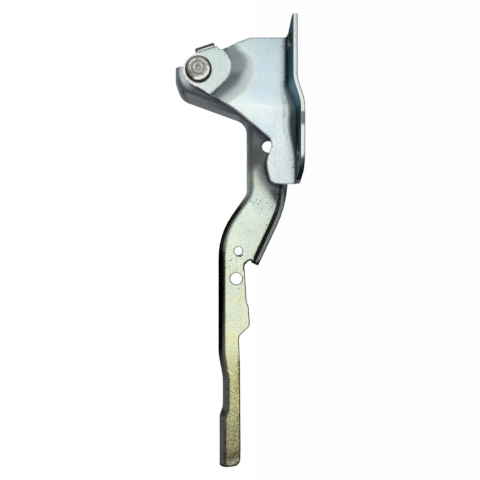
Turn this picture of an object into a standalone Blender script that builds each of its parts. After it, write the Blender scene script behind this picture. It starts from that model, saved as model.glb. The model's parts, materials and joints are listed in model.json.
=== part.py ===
"""Hood hinge in the closed position: a flanged body bracket and a gooseneck hood arm on one shouldered rivet.

Metres. +X is rearwards in the car, +Z is up and +Y is away from the side that the rivet's head is on.
The origin is on the flange's outer face, which bolts to the body side, straight below the pivot's axis.
Every function works from the pivot, on the parent empty's origin; the pivot's axis runs along Y.
A sheet piece is drawn as its front skin, bend by bend, and then given its thickness.
"""

import math

import bmesh
import bpy
from mathutils import Vector, geometry

# Sheets and the stack of pieces along the pivot
BRACKET_SHEET = 0.0035
ARM_SHEET = 0.0030
WEB_GAP = 0.0010
FIT_GAP = 0.0003
PAD_STEP = 0.0080
BUSH_FLANGE = 0.0010

# Rivet, bush and washers
SHANK_RADIUS = 0.0050
BUSH_WALL = 0.0012
BUSH_FLANGE_RADIUS = 0.0105
HEAD_RADIUS = 0.0092
HEAD_HEIGHT = 0.0030
HEAD_CHAMFER = 0.0006
HEAD_BOSS_RADIUS = 0.0017
HEAD_RING_RADIUS = 0.0046
HEAD_WASHER_RADIUS = 0.0107
HEAD_WASHER_THICK = 0.0016
REAR_WASHER_RADIUS = 0.0105
REAR_WASHER_THICK = 0.0015
FORMED_HEAD_RADIUS = 0.0082
FORMED_HEAD_HEIGHT = 0.0026

# Bracket web
PAD_RADIUS = 0.0126
LOWER_EDGE_ANGLE = math.radians(143.5)
WEB_REAR_X = 0.0229
BRACKET_FRONT_X = -0.0932

# Edges of the bracket's web as corners (x, z, radius): its lower front edge and its upper rear edge
WEB_LOWER_CORNERS = (
    (-0.0345, -0.0308, 0.120),
    (-0.0572, -0.0577, 0.009),
    (-0.0620, -0.0586, 0.010),
    (-0.0765, -0.0538, 0.020),
    (BRACKET_FRONT_X + 0.0012, -0.0577, 0.0055),
    (BRACKET_FRONT_X, -0.0670, 0.006),
)
WEB_REAR_CORNERS = (
    (WEB_REAR_X, -0.0415, 0.012),
    (0.0165, -0.0235, 0.005),
    (0.0163, -0.0172, 0.0022),
)

# Dish of the pad: the floor's edge is an arc that runs on as a straight line, and its slope fades into the web.
# The two tables give (distance along the floor's edge, size); the distance is negative on the arc.
DISH_CENTRE_X = 0.0042
DISH_CENTRE_Z = -0.0105
DISH_FLOOR_RADIUS = 0.0162
DISH_LINE_ANGLE = math.radians(-138.6)
DISH_EDGE_SHIFTS = ((0.0100, 0.0015), (-0.0137, 0.0), (-0.0208, -0.0010))
DISH_SLOPE_WIDTHS = ((0.0240, 0.0155), (-0.0053, 0.0205), (-0.0137, 0.0190), (-0.0208, 0.0115))

# Bracket flange, which the bolts hold to the body side
FLANGE_REACH = 0.0265
FLANGE_ROOT_REAR_Z = -0.0694
FLANGE_ROOT_FRONT_Z = -0.0771
FLANGE_EDGE_REAR_Z = -0.0725
FLANGE_EDGE_FRONT_Z = -0.0781
FLANGE_BEND_REAR = 0.0025
FLANGE_BEND_MIDDLE = 0.0090
FLANGE_BEND_FRONT = 0.0016
BEND_REAR_X = -0.0050
BEND_MIDDLE_X = -0.0450
BEND_FRONT_X = -0.0780
FLANGE_JOGGLE_REAR_X = -0.0130
FLANGE_JOGGLE_FRONT_X = -0.0380
EAR_X = 0.0317
EAR_FOOT_REACH = 0.0085
EAR_TOP_REACH = 0.0215
EAR_ROUND = 0.0040
NOSE_LENGTH = 0.0170
NOSE_FOOT_REACH = 0.0015
NOSE_KNEE_LENGTH = 0.0085
NOSE_KNEE_REACH = 0.0215
NOSE_ROUND = 0.0110
BODY_BOLT_HOLE_RADIUS = 0.0068
BODY_BOLT_REAR_X = 0.0137
BODY_BOLT_SPACING = 0.0829
BODY_BOLT_REACH = 0.0145

# Stop tab of the bracket
TAB_DISTANCE = 0.0173
TAB_ANGLE = math.radians(18.5)
TAB_START = 0.0026
TAB_WIDTH = 0.0160
TAB_BEND = 0.0050
TAB_REACH = 0.0125

# Arm
ARM_LENGTH = 0.3195
ARM_STEP_LENGTH = 0.0340
ARM_STEP_X = -0.0880
ARM_STEP_Z = -0.0435
ARM_STEP_SIDE_ANGLE = math.radians(-60.0)
HORN_END_X = 0.0039
HORN_START_X = -0.0161
HORN_Z = 0.0195
HORN_ROUND = 0.0140
NECK_Z = -0.0395
NECK_REAR_X = -0.0379
NECK_ROUND = 0.0120
NECK_FRONT_X = -0.0996
SHOULDER_X = -0.1330
SHOULDER_ROUND = 0.0600
HOOD_FACE_Z = -0.0160
REAR_PAD_END_X = -0.2300
FRONT_PAD_START_X = -0.2790
FRONT_PAD_DROP = 0.0009
FRONT_PAD_SLANT = 0.0077
PAD_RAMP_LENGTH = 0.0062
REAR_RAMP_LENGTH = 0.0186
REAR_RAMP_ROUND = 0.0400
PAD_RECESS = 0.0035
ARM_BEND = 0.0062
HOOD_FLANGE_DEPTH = 0.0300
HORN_FLANGE_DEPTH = 0.0380
STIFFENER_DEPTH = 0.0150
STIFFENER_Z = -0.0729
STIFFENER_TIP_X = -0.1584
STIFFENER_TIP_Z = -0.0482
STRIP_EDGE_Z = -0.0336
PIVOT_EYE_RADIUS = 0.0126
FRONT_CORNER_ROUND = 0.0075

# Edges of the arm's web as corners (x, z, radius): behind the bracket, then from the stiffener to the front end
HIDDEN_EDGE_CORNERS = (
    (0.0030, -0.0230, 0.015),
    (-0.0060, -0.0440, 0.010),
)
STRIP_CORNERS = (
    (-0.1537, -0.0409, 0.0018),
    (-0.1570, -0.0369, 0.0030),
    (-0.1875, -0.0388, 0.006),
    (-0.1905, -0.0403, 0.006),
    (-0.2063, -0.0414, 0.005),
    (-0.2150, -0.0324, 0.006),
    (-0.2360, -0.0334, 0.030),
    (-0.3050, -0.0339, 0.0),
)
STIFFENER_CORNERS = (
    (-0.1061, STIFFENER_Z, 0.130),
    (-0.0600, STIFFENER_Z, 0.050),
    (-0.0290, -0.0600),
)

# How deep the arm's two flanges are along it, as (x, depth) from the rear
HOOD_FLANGE_DEPTHS = (
    (-0.0040, HORN_FLANGE_DEPTH),
    (-0.0360, HORN_FLANGE_DEPTH - 0.0015),
    (-0.0600, HOOD_FLANGE_DEPTH),
    (-ARM_LENGTH + 0.0080, HOOD_FLANGE_DEPTH),
    (-ARM_LENGTH, HOOD_FLANGE_DEPTH - 0.0040),
)
STIFFENER_DEPTHS = (
    (-0.0300, STIFFENER_DEPTH + 0.0015),
    (-0.0500, STIFFENER_DEPTH + 0.0040),
    (-0.0950, STIFFENER_DEPTH),
    (STIFFENER_TIP_X + 0.0120, STIFFENER_DEPTH),
    (STIFFENER_TIP_X, STIFFENER_DEPTH - 0.0030),
)

# Holes of the arm
GAUGE_HOLE = (-0.0615, -0.0564, 0.00495)
LOCK_HOLE = (-0.1464, -0.0321, 0.00330)
JIG_HOLE = (-0.1686, -0.0304, 0.00470)
HOOD_SLOT_RADIUS = 0.0045
HOOD_SLOT_LENGTH = 0.0160
FRONT_SLOT_X = -0.2990
REAR_SLOT_X = -0.1860
HOOD_SLOT_DEPTH = 0.0165

# Planes along the pivot's axis, from the bracket's web to the arm
ARM_FRONT_Y = 0.0
WEB_FRONT_Y = ARM_FRONT_Y - WEB_GAP - BRACKET_SHEET
PAD_FRONT_Y = WEB_FRONT_Y + PAD_STEP
PAD_REAR_Y = PAD_FRONT_Y + BRACKET_SHEET
EYE_FRONT_Y = PAD_REAR_Y + FIT_GAP + BUSH_FLANGE + FIT_GAP
EYE_REAR_Y = EYE_FRONT_Y + ARM_SHEET
ARM_STEP = EYE_FRONT_Y - ARM_FRONT_Y

ARC_STEP = math.radians(9.0)
CIRCLE_SIDES = 40
TURNED_SIDES = 56


def clear_scene():
    """Empties the file, so that the script gives the same model each time."""
    for item in list(bpy.data.objects):
        bpy.data.objects.remove(item, do_unlink=True)


def collection(name):
    """A new collection in the scene."""
    made = bpy.data.collections.new(name)
    bpy.context.scene.collection.children.link(made)
    return made


def finish_material(name, colour, roughness, metallic):
    """A Principled material with one colour."""
    material = bpy.data.materials.new(name)
    material.use_nodes = True
    shader = material.node_tree.nodes["Principled BSDF"]
    shader.inputs["Base Color"].default_value = (*colour, 1.0)
    shader.inputs["Roughness"].default_value = roughness
    shader.inputs["Metallic"].default_value = metallic
    material.diffuse_color = (*colour, 1.0)
    return material


def smoothstep(t):
    """0 below 0, 1 above 1, with level ends."""
    t = min(max(t, 0.0), 1.0)
    return t * t * (3.0 - 2.0 * t)


def between(x, points):
    """Height at x of a curve through a few (x, height) points, in falling x, level at each point."""
    for (x0, y0), (x1, y1) in zip(points, points[1:]):
        if x >= x1:
            return y0 + (y1 - y0) * smoothstep((x0 - x) / (x0 - x1))
    return points[-1][1]


def arc(centre_x, centre_z, radius, start, end):
    """Points on an arc, from one angle to another."""
    count = max(2, math.ceil(abs(end - start) / ARC_STEP))
    angles = [start + (end - start) * i / count for i in range(count + 1)]
    return [(centre_x + radius * math.cos(a), centre_z + radius * math.sin(a)) for a in angles]


def circle(centre_x, centre_z, radius, sides=CIRCLE_SIDES):
    """Points round a circle, without the first one repeated."""
    turn = math.tau / sides
    return [
        (centre_x + radius * math.cos(i * turn), centre_z + radius * math.sin(i * turn))
        for i in range(sides)
    ]


def rounded(corners):
    """A path through corners (x, z, radius), each turned by an arc of its radius; the ends stay as they are.

    A radius is limited where the runs beside its corner are too short for it.
    """
    path = [corners[0][:2]]
    for before, here, after in zip(corners, corners[1:], corners[2:]):
        point = Vector(here[:2])
        back = Vector(before[:2]) - point
        on = Vector(after[:2]) - point
        half = back.angle(on) / 2
        if here[2] <= 0.0 or half > math.radians(89.0):
            path.append(tuple(point))
            continue
        cut_back = min(here[2] / math.tan(half), 0.49 * back.length, 0.49 * on.length)
        radius = cut_back * math.tan(half)
        middle = point + (back.normalized() + on.normalized()).normalized() * (radius / math.sin(half))
        first = point + back.normalized() * cut_back - middle
        last = point + on.normalized() * cut_back - middle
        start = math.atan2(first.y, first.x)
        sweep = (math.atan2(last.y, last.x) - start + math.pi) % math.tau - math.pi
        path += arc(middle.x, middle.y, radius, start, start + sweep)
    path.append(corners[-1][:2])
    return path


def divided(path, longest):
    """The path with its long runs cut into equal pieces."""
    points = [path[0]]
    for a, b in zip(path, path[1:]):
        count = max(1, math.ceil(math.dist(a, b) / longest))
        for i in range(1, count + 1):
            points.append((a[0] + (b[0] - a[0]) * i / count, a[1] + (b[1] - a[1]) * i / count))
    return points


def side_normals(path, side):
    """At each point of a path, the unit vector square to it: side 1 is to its left, -1 to its right."""
    normals = []
    for i in range(len(path)):
        along = (Vector(path[min(i + 1, len(path) - 1)]) - Vector(path[max(i - 1, 0)])).normalized()
        normals.append(Vector((-along.y, along.x)) * side)
    return normals


def inside(point, loop):
    """Whether a point lies within a closed loop of points."""
    x, z = point
    hit = False
    for (x0, z0), (x1, z1) in zip(loop, loop[1:] + loop[:1]):
        if (z0 > z) != (z1 > z) and x < x0 + (x1 - x0) * (z - z0) / (z1 - z0):
            hit = not hit
    return hit


def distance_to_run(point, start, end):
    """Distance from a point to the straight run between two points."""
    along = Vector(end) - Vector(start)
    share = (Vector(point) - Vector(start)).dot(along) / max(along.length_squared, 1e-18)
    return (Vector(point) - Vector(start) - along * min(max(share, 0.0), 1.0)).length


def clear_of_edges(line, loops, margin):
    """The stretches of a line that lie within the first loop and keep a margin from every loop's edge."""
    runs = [[]]
    for point in line:
        near = min(
            distance_to_run(point, a, b)
            for loop in loops
            for a, b in zip(loop, loop[1:] + loop[:1])
        )
        if near > margin and inside(point, loops[0]):
            runs[-1].append(point)
        elif runs[-1]:
            runs.append([])
    return [run for run in runs if len(run) > 1]


def flat_blank(outline, holes, creases):
    """Triangles of a flat blank, cut along its outline and holes; creases are lines kept in the mesh."""
    points = []
    edges = []
    for loop in [outline, *holes]:
        first = len(points)
        points += [Vector(p) for p in loop]
        edges += [(first + i, first + (i + 1) % len(loop)) for i in range(len(loop))]
    for line in creases:
        first = len(points)
        points += [Vector(p) for p in line]
        edges += [(first + i, first + i + 1) for i in range(len(line) - 1)]
    found = geometry.delaunay_2d_cdt(points, edges, [], 0, 1e-7)
    spots = [tuple(p) for p in found[0]]
    triangles = []
    for face in found[2]:
        centre = [sum(spots[i][k] for i in face) / len(face) for k in (0, 1)]
        if inside(centre, outline) and not any(inside(centre, hole) for hole in holes):
            triangles.append(tuple(face))
    return spots, triangles


def sheet_piece(name, faces_of_points, thickness, material, home):
    """One sheet object from faces of its front skin, thickened away from the skin's normals."""
    mesh = bpy.data.meshes.new(name)
    work = bmesh.new()
    for face in faces_of_points:
        work.faces.new([work.verts.new(p) for p in face])
    bmesh.ops.remove_doubles(work, verts=work.verts, dist=2e-6)
    bmesh.ops.dissolve_degenerate(work, dist=1e-6, edges=work.edges)
    bmesh.ops.recalc_face_normals(work, faces=work.faces)
    towards_head = sum(face.normal.y * face.calc_area() for face in work.faces)
    if towards_head > 0.0:
        bmesh.ops.reverse_faces(work, faces=work.faces)
    work.to_mesh(mesh)
    work.free()
    piece = bpy.data.objects.new(name, mesh)
    home.objects.link(piece)
    mesh.materials.append(material)
    thicken = piece.modifiers.new("Sheet thickness", "SOLIDIFY")
    thicken.thickness = thickness
    thicken.offset = -1.0
    thicken.use_even_offset = True
    mesh.shade_smooth()
    mesh.set_sharp_from_angle(angle=math.radians(32.0))
    return piece


def bend_rows(start, away, front_y, radius, reach):
    """Points down a square bend away from the head: start on the web, away along it, reach past it."""
    steps = math.ceil(math.radians(90.0) / (1.6 * ARC_STEP))
    rows = []
    for i in range(steps + 1):
        turn = math.radians(90.0) * i / steps
        out = radius * math.sin(turn)
        deep = radius * (1.0 - math.cos(turn))
        rows.append((start[0] + away.x * out, front_y + deep, start[1] + away.y * out))
    rows.append((start[0] + away.x * radius, front_y + reach, start[1] + away.y * radius))
    return rows


def ribbon(rows_by_station):
    """Quads between neighbouring rows of points."""
    faces = []
    for here, there in zip(rows_by_station, rows_by_station[1:]):
        for i in range(len(here) - 1):
            faces.append((here[i], here[i + 1], there[i + 1], there[i]))
    return faces


def bracket_bend(x):
    """Inner radius of the bend between the bracket's web and flange."""
    return between(x, [
        (BEND_REAR_X, FLANGE_BEND_REAR),
        (BEND_MIDDLE_X, FLANGE_BEND_MIDDLE),
        (BEND_FRONT_X, FLANGE_BEND_FRONT),
    ])


def joggled(x, rear, front):
    """A flange height that steps from its rear value to its front value across the joggle."""
    return between(x, [(FLANGE_JOGGLE_REAR_X, rear), (FLANGE_JOGGLE_FRONT_X, front)])


def bracket_lean(x):
    """Angle by which the flange leans outward from square, from the root to its free edge."""
    drop = joggled(x, FLANGE_ROOT_REAR_Z - FLANGE_EDGE_REAR_Z, FLANGE_ROOT_FRONT_Z - FLANGE_EDGE_FRONT_Z)
    return math.atan2(drop, FLANGE_REACH)


def bracket_root(x):
    """Height at which the bracket's web starts to bend into its flange."""
    half_turn = (math.pi / 2 - bracket_lean(x)) / 2
    return joggled(x, FLANGE_ROOT_REAR_Z, FLANGE_ROOT_FRONT_Z) + bracket_bend(x) * math.tan(half_turn)


def dish_directions():
    """The way straight out of the dish's straight side, and the way along it."""
    out = Vector((math.cos(DISH_LINE_ANGLE), math.sin(DISH_LINE_ANGLE)))
    return out, Vector((out.y, -out.x))


def dish_place(x, z):
    """Distance along the edge of the dish's floor, and distance out from it."""
    out, along = dish_directions()
    from_centre = Vector((x - DISH_CENTRE_X, z - DISH_CENTRE_Z))
    run = from_centre.dot(along)
    if run > 0.0:
        return run, from_centre.dot(out) - DISH_FLOOR_RADIUS - between(run, DISH_EDGE_SHIFTS)
    run = -DISH_FLOOR_RADIUS * from_centre.angle(out, 0.0)
    return run, from_centre.length - DISH_FLOOR_RADIUS - between(run, DISH_EDGE_SHIFTS)


def dish_point(run, share):
    """The spot at a distance along the floor's edge, a share of the way up the slope."""
    out, along = dish_directions()
    reach = DISH_FLOOR_RADIUS + between(run, DISH_EDGE_SHIFTS) + between(run, DISH_SLOPE_WIDTHS) * share
    if run > 0.0:
        spot = out * reach + along * run
        return (DISH_CENTRE_X + spot.x, DISH_CENTRE_Z + spot.y)
    angle = DISH_LINE_ANGLE - run / DISH_FLOOR_RADIUS
    return (DISH_CENTRE_X + reach * math.cos(angle), DISH_CENTRE_Z + reach * math.sin(angle))


def bracket_depth(x, z):
    """Front face of the bracket's web: flat, with the dished pad set back round the pivot."""
    run, out = dish_place(x, z)
    share = min(max(1.0 - out / between(run, DISH_SLOPE_WIDTHS), 0.0), 1.0)
    return WEB_FRONT_Y + PAD_STEP * share ** 2


def bracket_fold(x, v):
    """Place of a point of the bracket's flat blank: x along it, v across it from the pivot's height."""
    root = bracket_root(x)
    if v <= -root:
        return (x, bracket_depth(x, -v), -v)
    bend = bracket_bend(x)
    turn = math.pi / 2 - bracket_lean(x)
    along = v + root
    bent = min(along / bend, turn)
    straight = max(along - bend * turn, 0.0)
    across = bend * math.sin(bent) + straight * math.cos(turn)
    out = bend * (1.0 - math.cos(bent)) + straight * math.sin(turn)
    return (x, WEB_FRONT_Y - out, root - across)


def bracket_blank_v(x, reach):
    """Distance across the blank at which the folded flange has gone this far out from the web."""
    bend = bracket_bend(x)
    turn = math.pi / 2 - bracket_lean(x)
    if reach < bend:
        return -bracket_root(x) + bend * math.acos(1.0 - reach / bend)
    bend_out = bend * (1.0 - math.cos(turn))
    return -bracket_root(x) + bend * turn + (reach - bend_out) / math.sin(turn)


def tab_frame():
    """The stop tab's outward direction, its direction along the bend, and the bend line's two ends."""
    outward = Vector((math.cos(TAB_ANGLE), math.sin(TAB_ANGLE)))
    along = Vector((math.sin(TAB_ANGLE), -math.cos(TAB_ANGLE)))
    start = outward * (TAB_DISTANCE - TAB_BEND) + along * TAB_START
    return outward, along, start, start + along * TAB_WIDTH


def bracket_outline():
    """Edge of the bracket's flat blank, from the tab's left end round the pad and down to the flange."""
    outward, along, tab_left, tab_right = tab_frame()
    first = math.asin(min(tab_left.y / PAD_RADIUS, 1.0)) + math.radians(6.0)
    pad = arc(0.0, 0.0, PAD_RADIUS, first, LOWER_EDGE_ANGLE)
    front = BRACKET_FRONT_X
    nose_end = front + NOSE_LENGTH
    knee_x = front + NOSE_KNEE_LENGTH
    lower_front = rounded([pad[-1], *WEB_LOWER_CORNERS, (front, bracket_root(front))])
    edge_reach = FLANGE_REACH
    nose_line = rounded([
        (front, -bracket_root(front)),
        (front, bracket_blank_v(front, NOSE_FOOT_REACH), NOSE_ROUND),
        (knee_x, bracket_blank_v(knee_x, NOSE_KNEE_REACH), NOSE_ROUND),
        (nose_end, bracket_blank_v(nose_end, edge_reach), NOSE_ROUND),
        (nose_end + NOSE_ROUND, bracket_blank_v(nose_end + NOSE_ROUND, edge_reach)),
    ])
    edge_start = nose_end + NOSE_ROUND
    edge_end = EAR_X - 2 * EAR_ROUND
    xs = [edge_start + (edge_end - edge_start) * i / 20 for i in range(1, 20)]
    free_edge = [(x, bracket_blank_v(x, edge_reach)) for x in xs]
    ear = rounded([
        (edge_end, bracket_blank_v(edge_end, edge_reach)),
        (EAR_X, bracket_blank_v(EAR_X, edge_reach), 0.0012),
        (EAR_X, bracket_blank_v(EAR_X, EAR_TOP_REACH), EAR_ROUND),
        (WEB_REAR_X, bracket_blank_v(WEB_REAR_X, EAR_FOOT_REACH), EAR_ROUND),
        (WEB_REAR_X, -bracket_root(WEB_REAR_X) - 0.006),
    ])
    upper_rear = rounded([
        (WEB_REAR_X, bracket_root(WEB_REAR_X) + 0.006),
        *WEB_REAR_CORNERS,
        (tab_right.x + 0.0006, tab_right.y - 0.0012, 0.0),
        tuple(tab_right),
    ])
    web_side = [(x, -z) for x, z in divided(pad, 0.004)[:-1] + divided(lower_front, 0.008)]
    return (
        [(tab_left.x, -tab_left.y)]
        + web_side
        + divided(nose_line, 0.008)[1:]
        + free_edge
        + ear
        + [(x, -z) for x, z in divided(upper_rear, 0.008)[1:]]
    )


def bracket_holes():
    """Rivet hole and the two body bolt holes, in the flat blank."""
    holes = [circle(0.0, 0.0, SHANK_RADIUS + FIT_GAP)]
    for x in (BODY_BOLT_REAR_X, BODY_BOLT_REAR_X - BODY_BOLT_SPACING):
        holes.append(circle(x, bracket_blank_v(x, BODY_BOLT_REACH), BODY_BOLT_HOLE_RADIUS, 32))
    return holes


def bracket_creases():
    """Lines kept in the blank: the dish's rows of equal depth and the rows of the flange's bend."""
    lines = []
    for share in (0.0, 0.12, 0.26, 0.42, 0.60, 0.80, 1.0):
        row = [dish_point(0.030 - 0.062 * i / 44, share) for i in range(45)]
        lines.append([(x, -z) for x, z in row])
    xs = [EAR_X + 0.002 - (EAR_X + 0.004 - BRACKET_FRONT_X) * i / 28 for i in range(29)]
    for share in (0.0, 0.2, 0.4, 0.6, 0.8, 1.0):
        row = []
        for x in xs:
            turn = math.pi / 2 - bracket_lean(x)
            row.append((x, -bracket_root(x) + bracket_bend(x) * turn * share))
        lines.append(row)
    for i in range(7):
        x = FLANGE_JOGGLE_REAR_X + (FLANGE_JOGGLE_FRONT_X - FLANGE_JOGGLE_REAR_X) * i / 6
        past_bend = bracket_bend(x) + FIT_GAP
        lines.append([(x, bracket_blank_v(x, past_bend)), (x, bracket_blank_v(x, FLANGE_REACH - FIT_GAP))])
    return lines


def body_bracket(home, material):
    """The stamped bracket: blank folded at the flange, with the stop tab bent back at its rear."""
    spots, triangles = flat_blank(bracket_outline(), bracket_holes(), bracket_creases())
    folded = [bracket_fold(x, v) for x, v in spots]
    faces = [[folded[i] for i in triangle] for triangle in triangles]
    outward, along, left, right = tab_frame()
    rows = [bend_rows(end, outward, PAD_FRONT_Y, TAB_BEND, TAB_REACH) for end in (left, right)]
    return sheet_piece("body_bracket", faces + ribbon(rows), BRACKET_SHEET, material, home)


def arm_share(x, z):
    """How far the arm's web has stepped back towards the pivot's plane, from 0 on the long arm to 1."""
    over_rear = x - ARM_STEP_X
    side = (math.cos(ARM_STEP_SIDE_ANGLE), math.sin(ARM_STEP_SIDE_ANGLE))
    over_side = side[0] * (x - ARM_STEP_X) + side[1] * (z - ARM_STEP_Z)
    return smoothstep(max(over_rear, over_side) / ARM_STEP_LENGTH)


def arm_depth(x, z):
    """Front face of the arm's web."""
    return ARM_FRONT_Y + ARM_STEP * arm_share(x, z)


def hood_contour():
    """Outer line of the hood side of the arm, from its front end to the horn's end."""
    recess = HOOD_FACE_Z - PAD_RECESS
    front_pad = HOOD_FACE_Z - FRONT_PAD_DROP
    return divided(rounded([
        (-ARM_LENGTH, front_pad),
        (FRONT_PAD_START_X, front_pad, 0.008),
        (FRONT_PAD_START_X + PAD_RAMP_LENGTH, recess, 0.008),
        (REAR_PAD_END_X - REAR_RAMP_LENGTH, recess, REAR_RAMP_ROUND),
        (REAR_PAD_END_X, HOOD_FACE_Z, REAR_RAMP_ROUND),
        (SHOULDER_X, HOOD_FACE_Z, SHOULDER_ROUND),
        (NECK_FRONT_X, NECK_Z, 0.014),
        (NECK_REAR_X, NECK_Z, NECK_ROUND),
        (HORN_START_X, HORN_Z, HORN_ROUND),
        (HORN_END_X, HORN_Z),
    ]), 0.012)


def free_edge_height(contour, x):
    """Height of the hood flange's free edge on the long arm, where the front pad's ramp runs at a slant."""
    ahead = x + FRONT_PAD_SLANT * smoothstep((REAR_PAD_END_X - 4 * PAD_RAMP_LENGTH - x) / PAD_RAMP_LENGTH)
    for (x0, z0), (x1, z1) in zip(contour, contour[1:]):
        if x0 <= ahead <= x1:
            return z0 + (z1 - z0) * (ahead - x0) / (x1 - x0)
    return contour[0][1]


def stiffener_contour():
    """Outer line of the stiffening flange, from its tip to its hidden rear end."""
    return divided(rounded([(STIFFENER_TIP_X, STIFFENER_TIP_Z), *STIFFENER_CORNERS]), 0.010)


def bend_line(contour, side):
    """Where the web starts to bend, inside an outer contour, with the direction back out to it."""
    normals = side_normals(contour, side)
    line = [(x + n.x * ARM_BEND, z + n.y * ARM_BEND) for (x, z), n in zip(contour, normals)]
    return line, [-n for n in normals]


def arm_outline(hood_line, stiffener_line):
    """Edge of the arm's web: the two bend lines joined round the eye, the notch and the front end."""
    eye_start = math.acos(HORN_END_X / PIVOT_EYE_RADIUS)
    eye = arc(0.0, 0.0, PIVOT_EYE_RADIUS, eye_start, math.radians(-62.0))
    hidden_edge = rounded([eye[-1], *HIDDEN_EDGE_CORNERS, stiffener_line[-1]])
    front_corner = (-ARM_LENGTH + 0.0012, STRIP_EDGE_Z, FRONT_CORNER_ROUND)
    strip = rounded([stiffener_line[0], *STRIP_CORNERS, front_corner, hood_line[0]])
    return (
        hood_line
        + eye
        + divided(hidden_edge, 0.010)[1:]
        + list(reversed(stiffener_line))[1:]
        + divided(strip, 0.012)[1:-1]
    )


def arm_creases(loops):
    """Lines of equal depth, kept in the web where it steps back; they stop short of its edges and holes."""
    lines = []
    side = Vector((math.cos(ARM_STEP_SIDE_ANGLE), math.sin(ARM_STEP_SIDE_ANGLE)))
    corner = Vector((ARM_STEP_X, ARM_STEP_Z))
    turn_line = math.atan2(side.y, side.x) / 2.0
    for i in range(9):
        out = ARM_STEP_LENGTH * i / 8
        bend_at = corner + Vector((math.cos(turn_line), math.sin(turn_line))) * (out / math.cos(turn_line))
        up = [(bend_at.x, bend_at.y + 0.003 * k) for k in range(24, 0, -1)]
        along = Vector((side.y, -side.x))
        down = [tuple(bend_at + along * 0.003 * k) for k in range(24)]
        lines += clear_of_edges(up + down, loops, 0.0012)
    return lines


def arm_holes():
    """Holes through the arm's web: the bush's bore and the three round holes."""
    bore = SHANK_RADIUS + FIT_GAP + BUSH_WALL + FIT_GAP
    return [circle(0.0, 0.0, bore)] + [circle(*hole) for hole in (GAUGE_HOLE, LOCK_HOLE, JIG_HOLE)]


def slot_cutter(x, home):
    """A cutter for one round-ended bolt slot through the hood flange."""
    half = HOOD_SLOT_LENGTH / 2 - HOOD_SLOT_RADIUS
    depth = ARM_FRONT_Y + HOOD_SLOT_DEPTH
    ends = arc(x + half, depth, HOOD_SLOT_RADIUS, -math.pi / 2, math.pi / 2)
    ends += arc(x - half, depth, HOOD_SLOT_RADIUS, math.pi / 2, 3 * math.pi / 2)
    mesh = bpy.data.meshes.new("hood_slot_cutter")
    work = bmesh.new()
    face = work.faces.new([work.verts.new((px, py, HOOD_FACE_Z + 0.004)) for px, py in ends])
    grown = bmesh.ops.extrude_face_region(work, geom=[face])
    moved = [item for item in grown["geom"] if isinstance(item, bmesh.types.BMVert)]
    bmesh.ops.translate(work, verts=moved, vec=(0.0, 0.0, -4.0 * ARM_SHEET))
    bmesh.ops.recalc_face_normals(work, faces=work.faces)
    work.to_mesh(mesh)
    work.free()
    cutter = bpy.data.objects.new("hood_slot_cutter", mesh)
    cutter.hide_render = True
    cutter.display_type = "WIRE"
    home.objects.link(cutter)
    return cutter


def hood_arm(home, cutters, material):
    """The stamped gooseneck arm: stepped web, hood flange with its horn, and stiffening flange."""
    contour = hood_contour()
    hood_line, hood_out = bend_line(contour, -1)
    stiffener_line, stiffener_out = bend_line(stiffener_contour(), 1)
    outline = arm_outline(hood_line, stiffener_line)
    holes = arm_holes()
    spots, triangles = flat_blank(outline, holes, arm_creases([outline, *holes]))
    pressed = [(x, arm_depth(x, z), z) for x, z in spots]
    faces = [[pressed[i] for i in triangle] for triangle in triangles]
    for line, away, depths in (
        (hood_line, hood_out, HOOD_FLANGE_DEPTHS),
        (stiffener_line, stiffener_out, STIFFENER_DEPTHS),
    ):
        rows = []
        for point, out in zip(line, away):
            front = arm_depth(*point)
            reach = ARM_FRONT_Y + between(point[0], depths) - front
            rows.append(bend_rows(point, out, front, ARM_BEND, reach))
        if line is hood_line:
            for row in rows:
                if row[-1][0] < REAR_PAD_END_X:
                    row[-1] = (*row[-1][:2], free_edge_height(contour, row[-1][0]))
        faces += ribbon(rows)
    arm = sheet_piece("hood_arm", faces, ARM_SHEET, material, home)
    for x in (FRONT_SLOT_X, REAR_SLOT_X):
        cut = arm.modifiers.new("Bolt slot", "BOOLEAN")
        cut.operation = "DIFFERENCE"
        cut.solver = "EXACT"
        cut.object = slot_cutter(x, cutters)
    return arm


def turned_piece(name, profile, home, material):
    """A turned piece on the pivot's axis from a closed profile of (radius, y), from the head side rearwards."""
    mesh = bpy.data.meshes.new(name)
    points = [(radius, 0.0, -y) for radius, y in profile]
    edges = [(i, i + 1) for i in range(len(points) - 1)]
    if profile[0][0] > 0.0:
        edges.append((len(points) - 1, 0))
    mesh.from_pydata(points, edges, [])
    piece = bpy.data.objects.new(name, mesh)
    home.objects.link(piece)
    mesh.materials.append(material)
    piece.rotation_euler = (math.pi / 2, 0.0, 0.0)
    spin = piece.modifiers.new("Turned", "SCREW")
    spin.steps = TURNED_SIDES
    spin.render_steps = TURNED_SIDES
    spin.use_merge_vertices = True
    spin.merge_threshold = 0.00001
    spin.use_smooth_shade = True
    return piece


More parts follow.
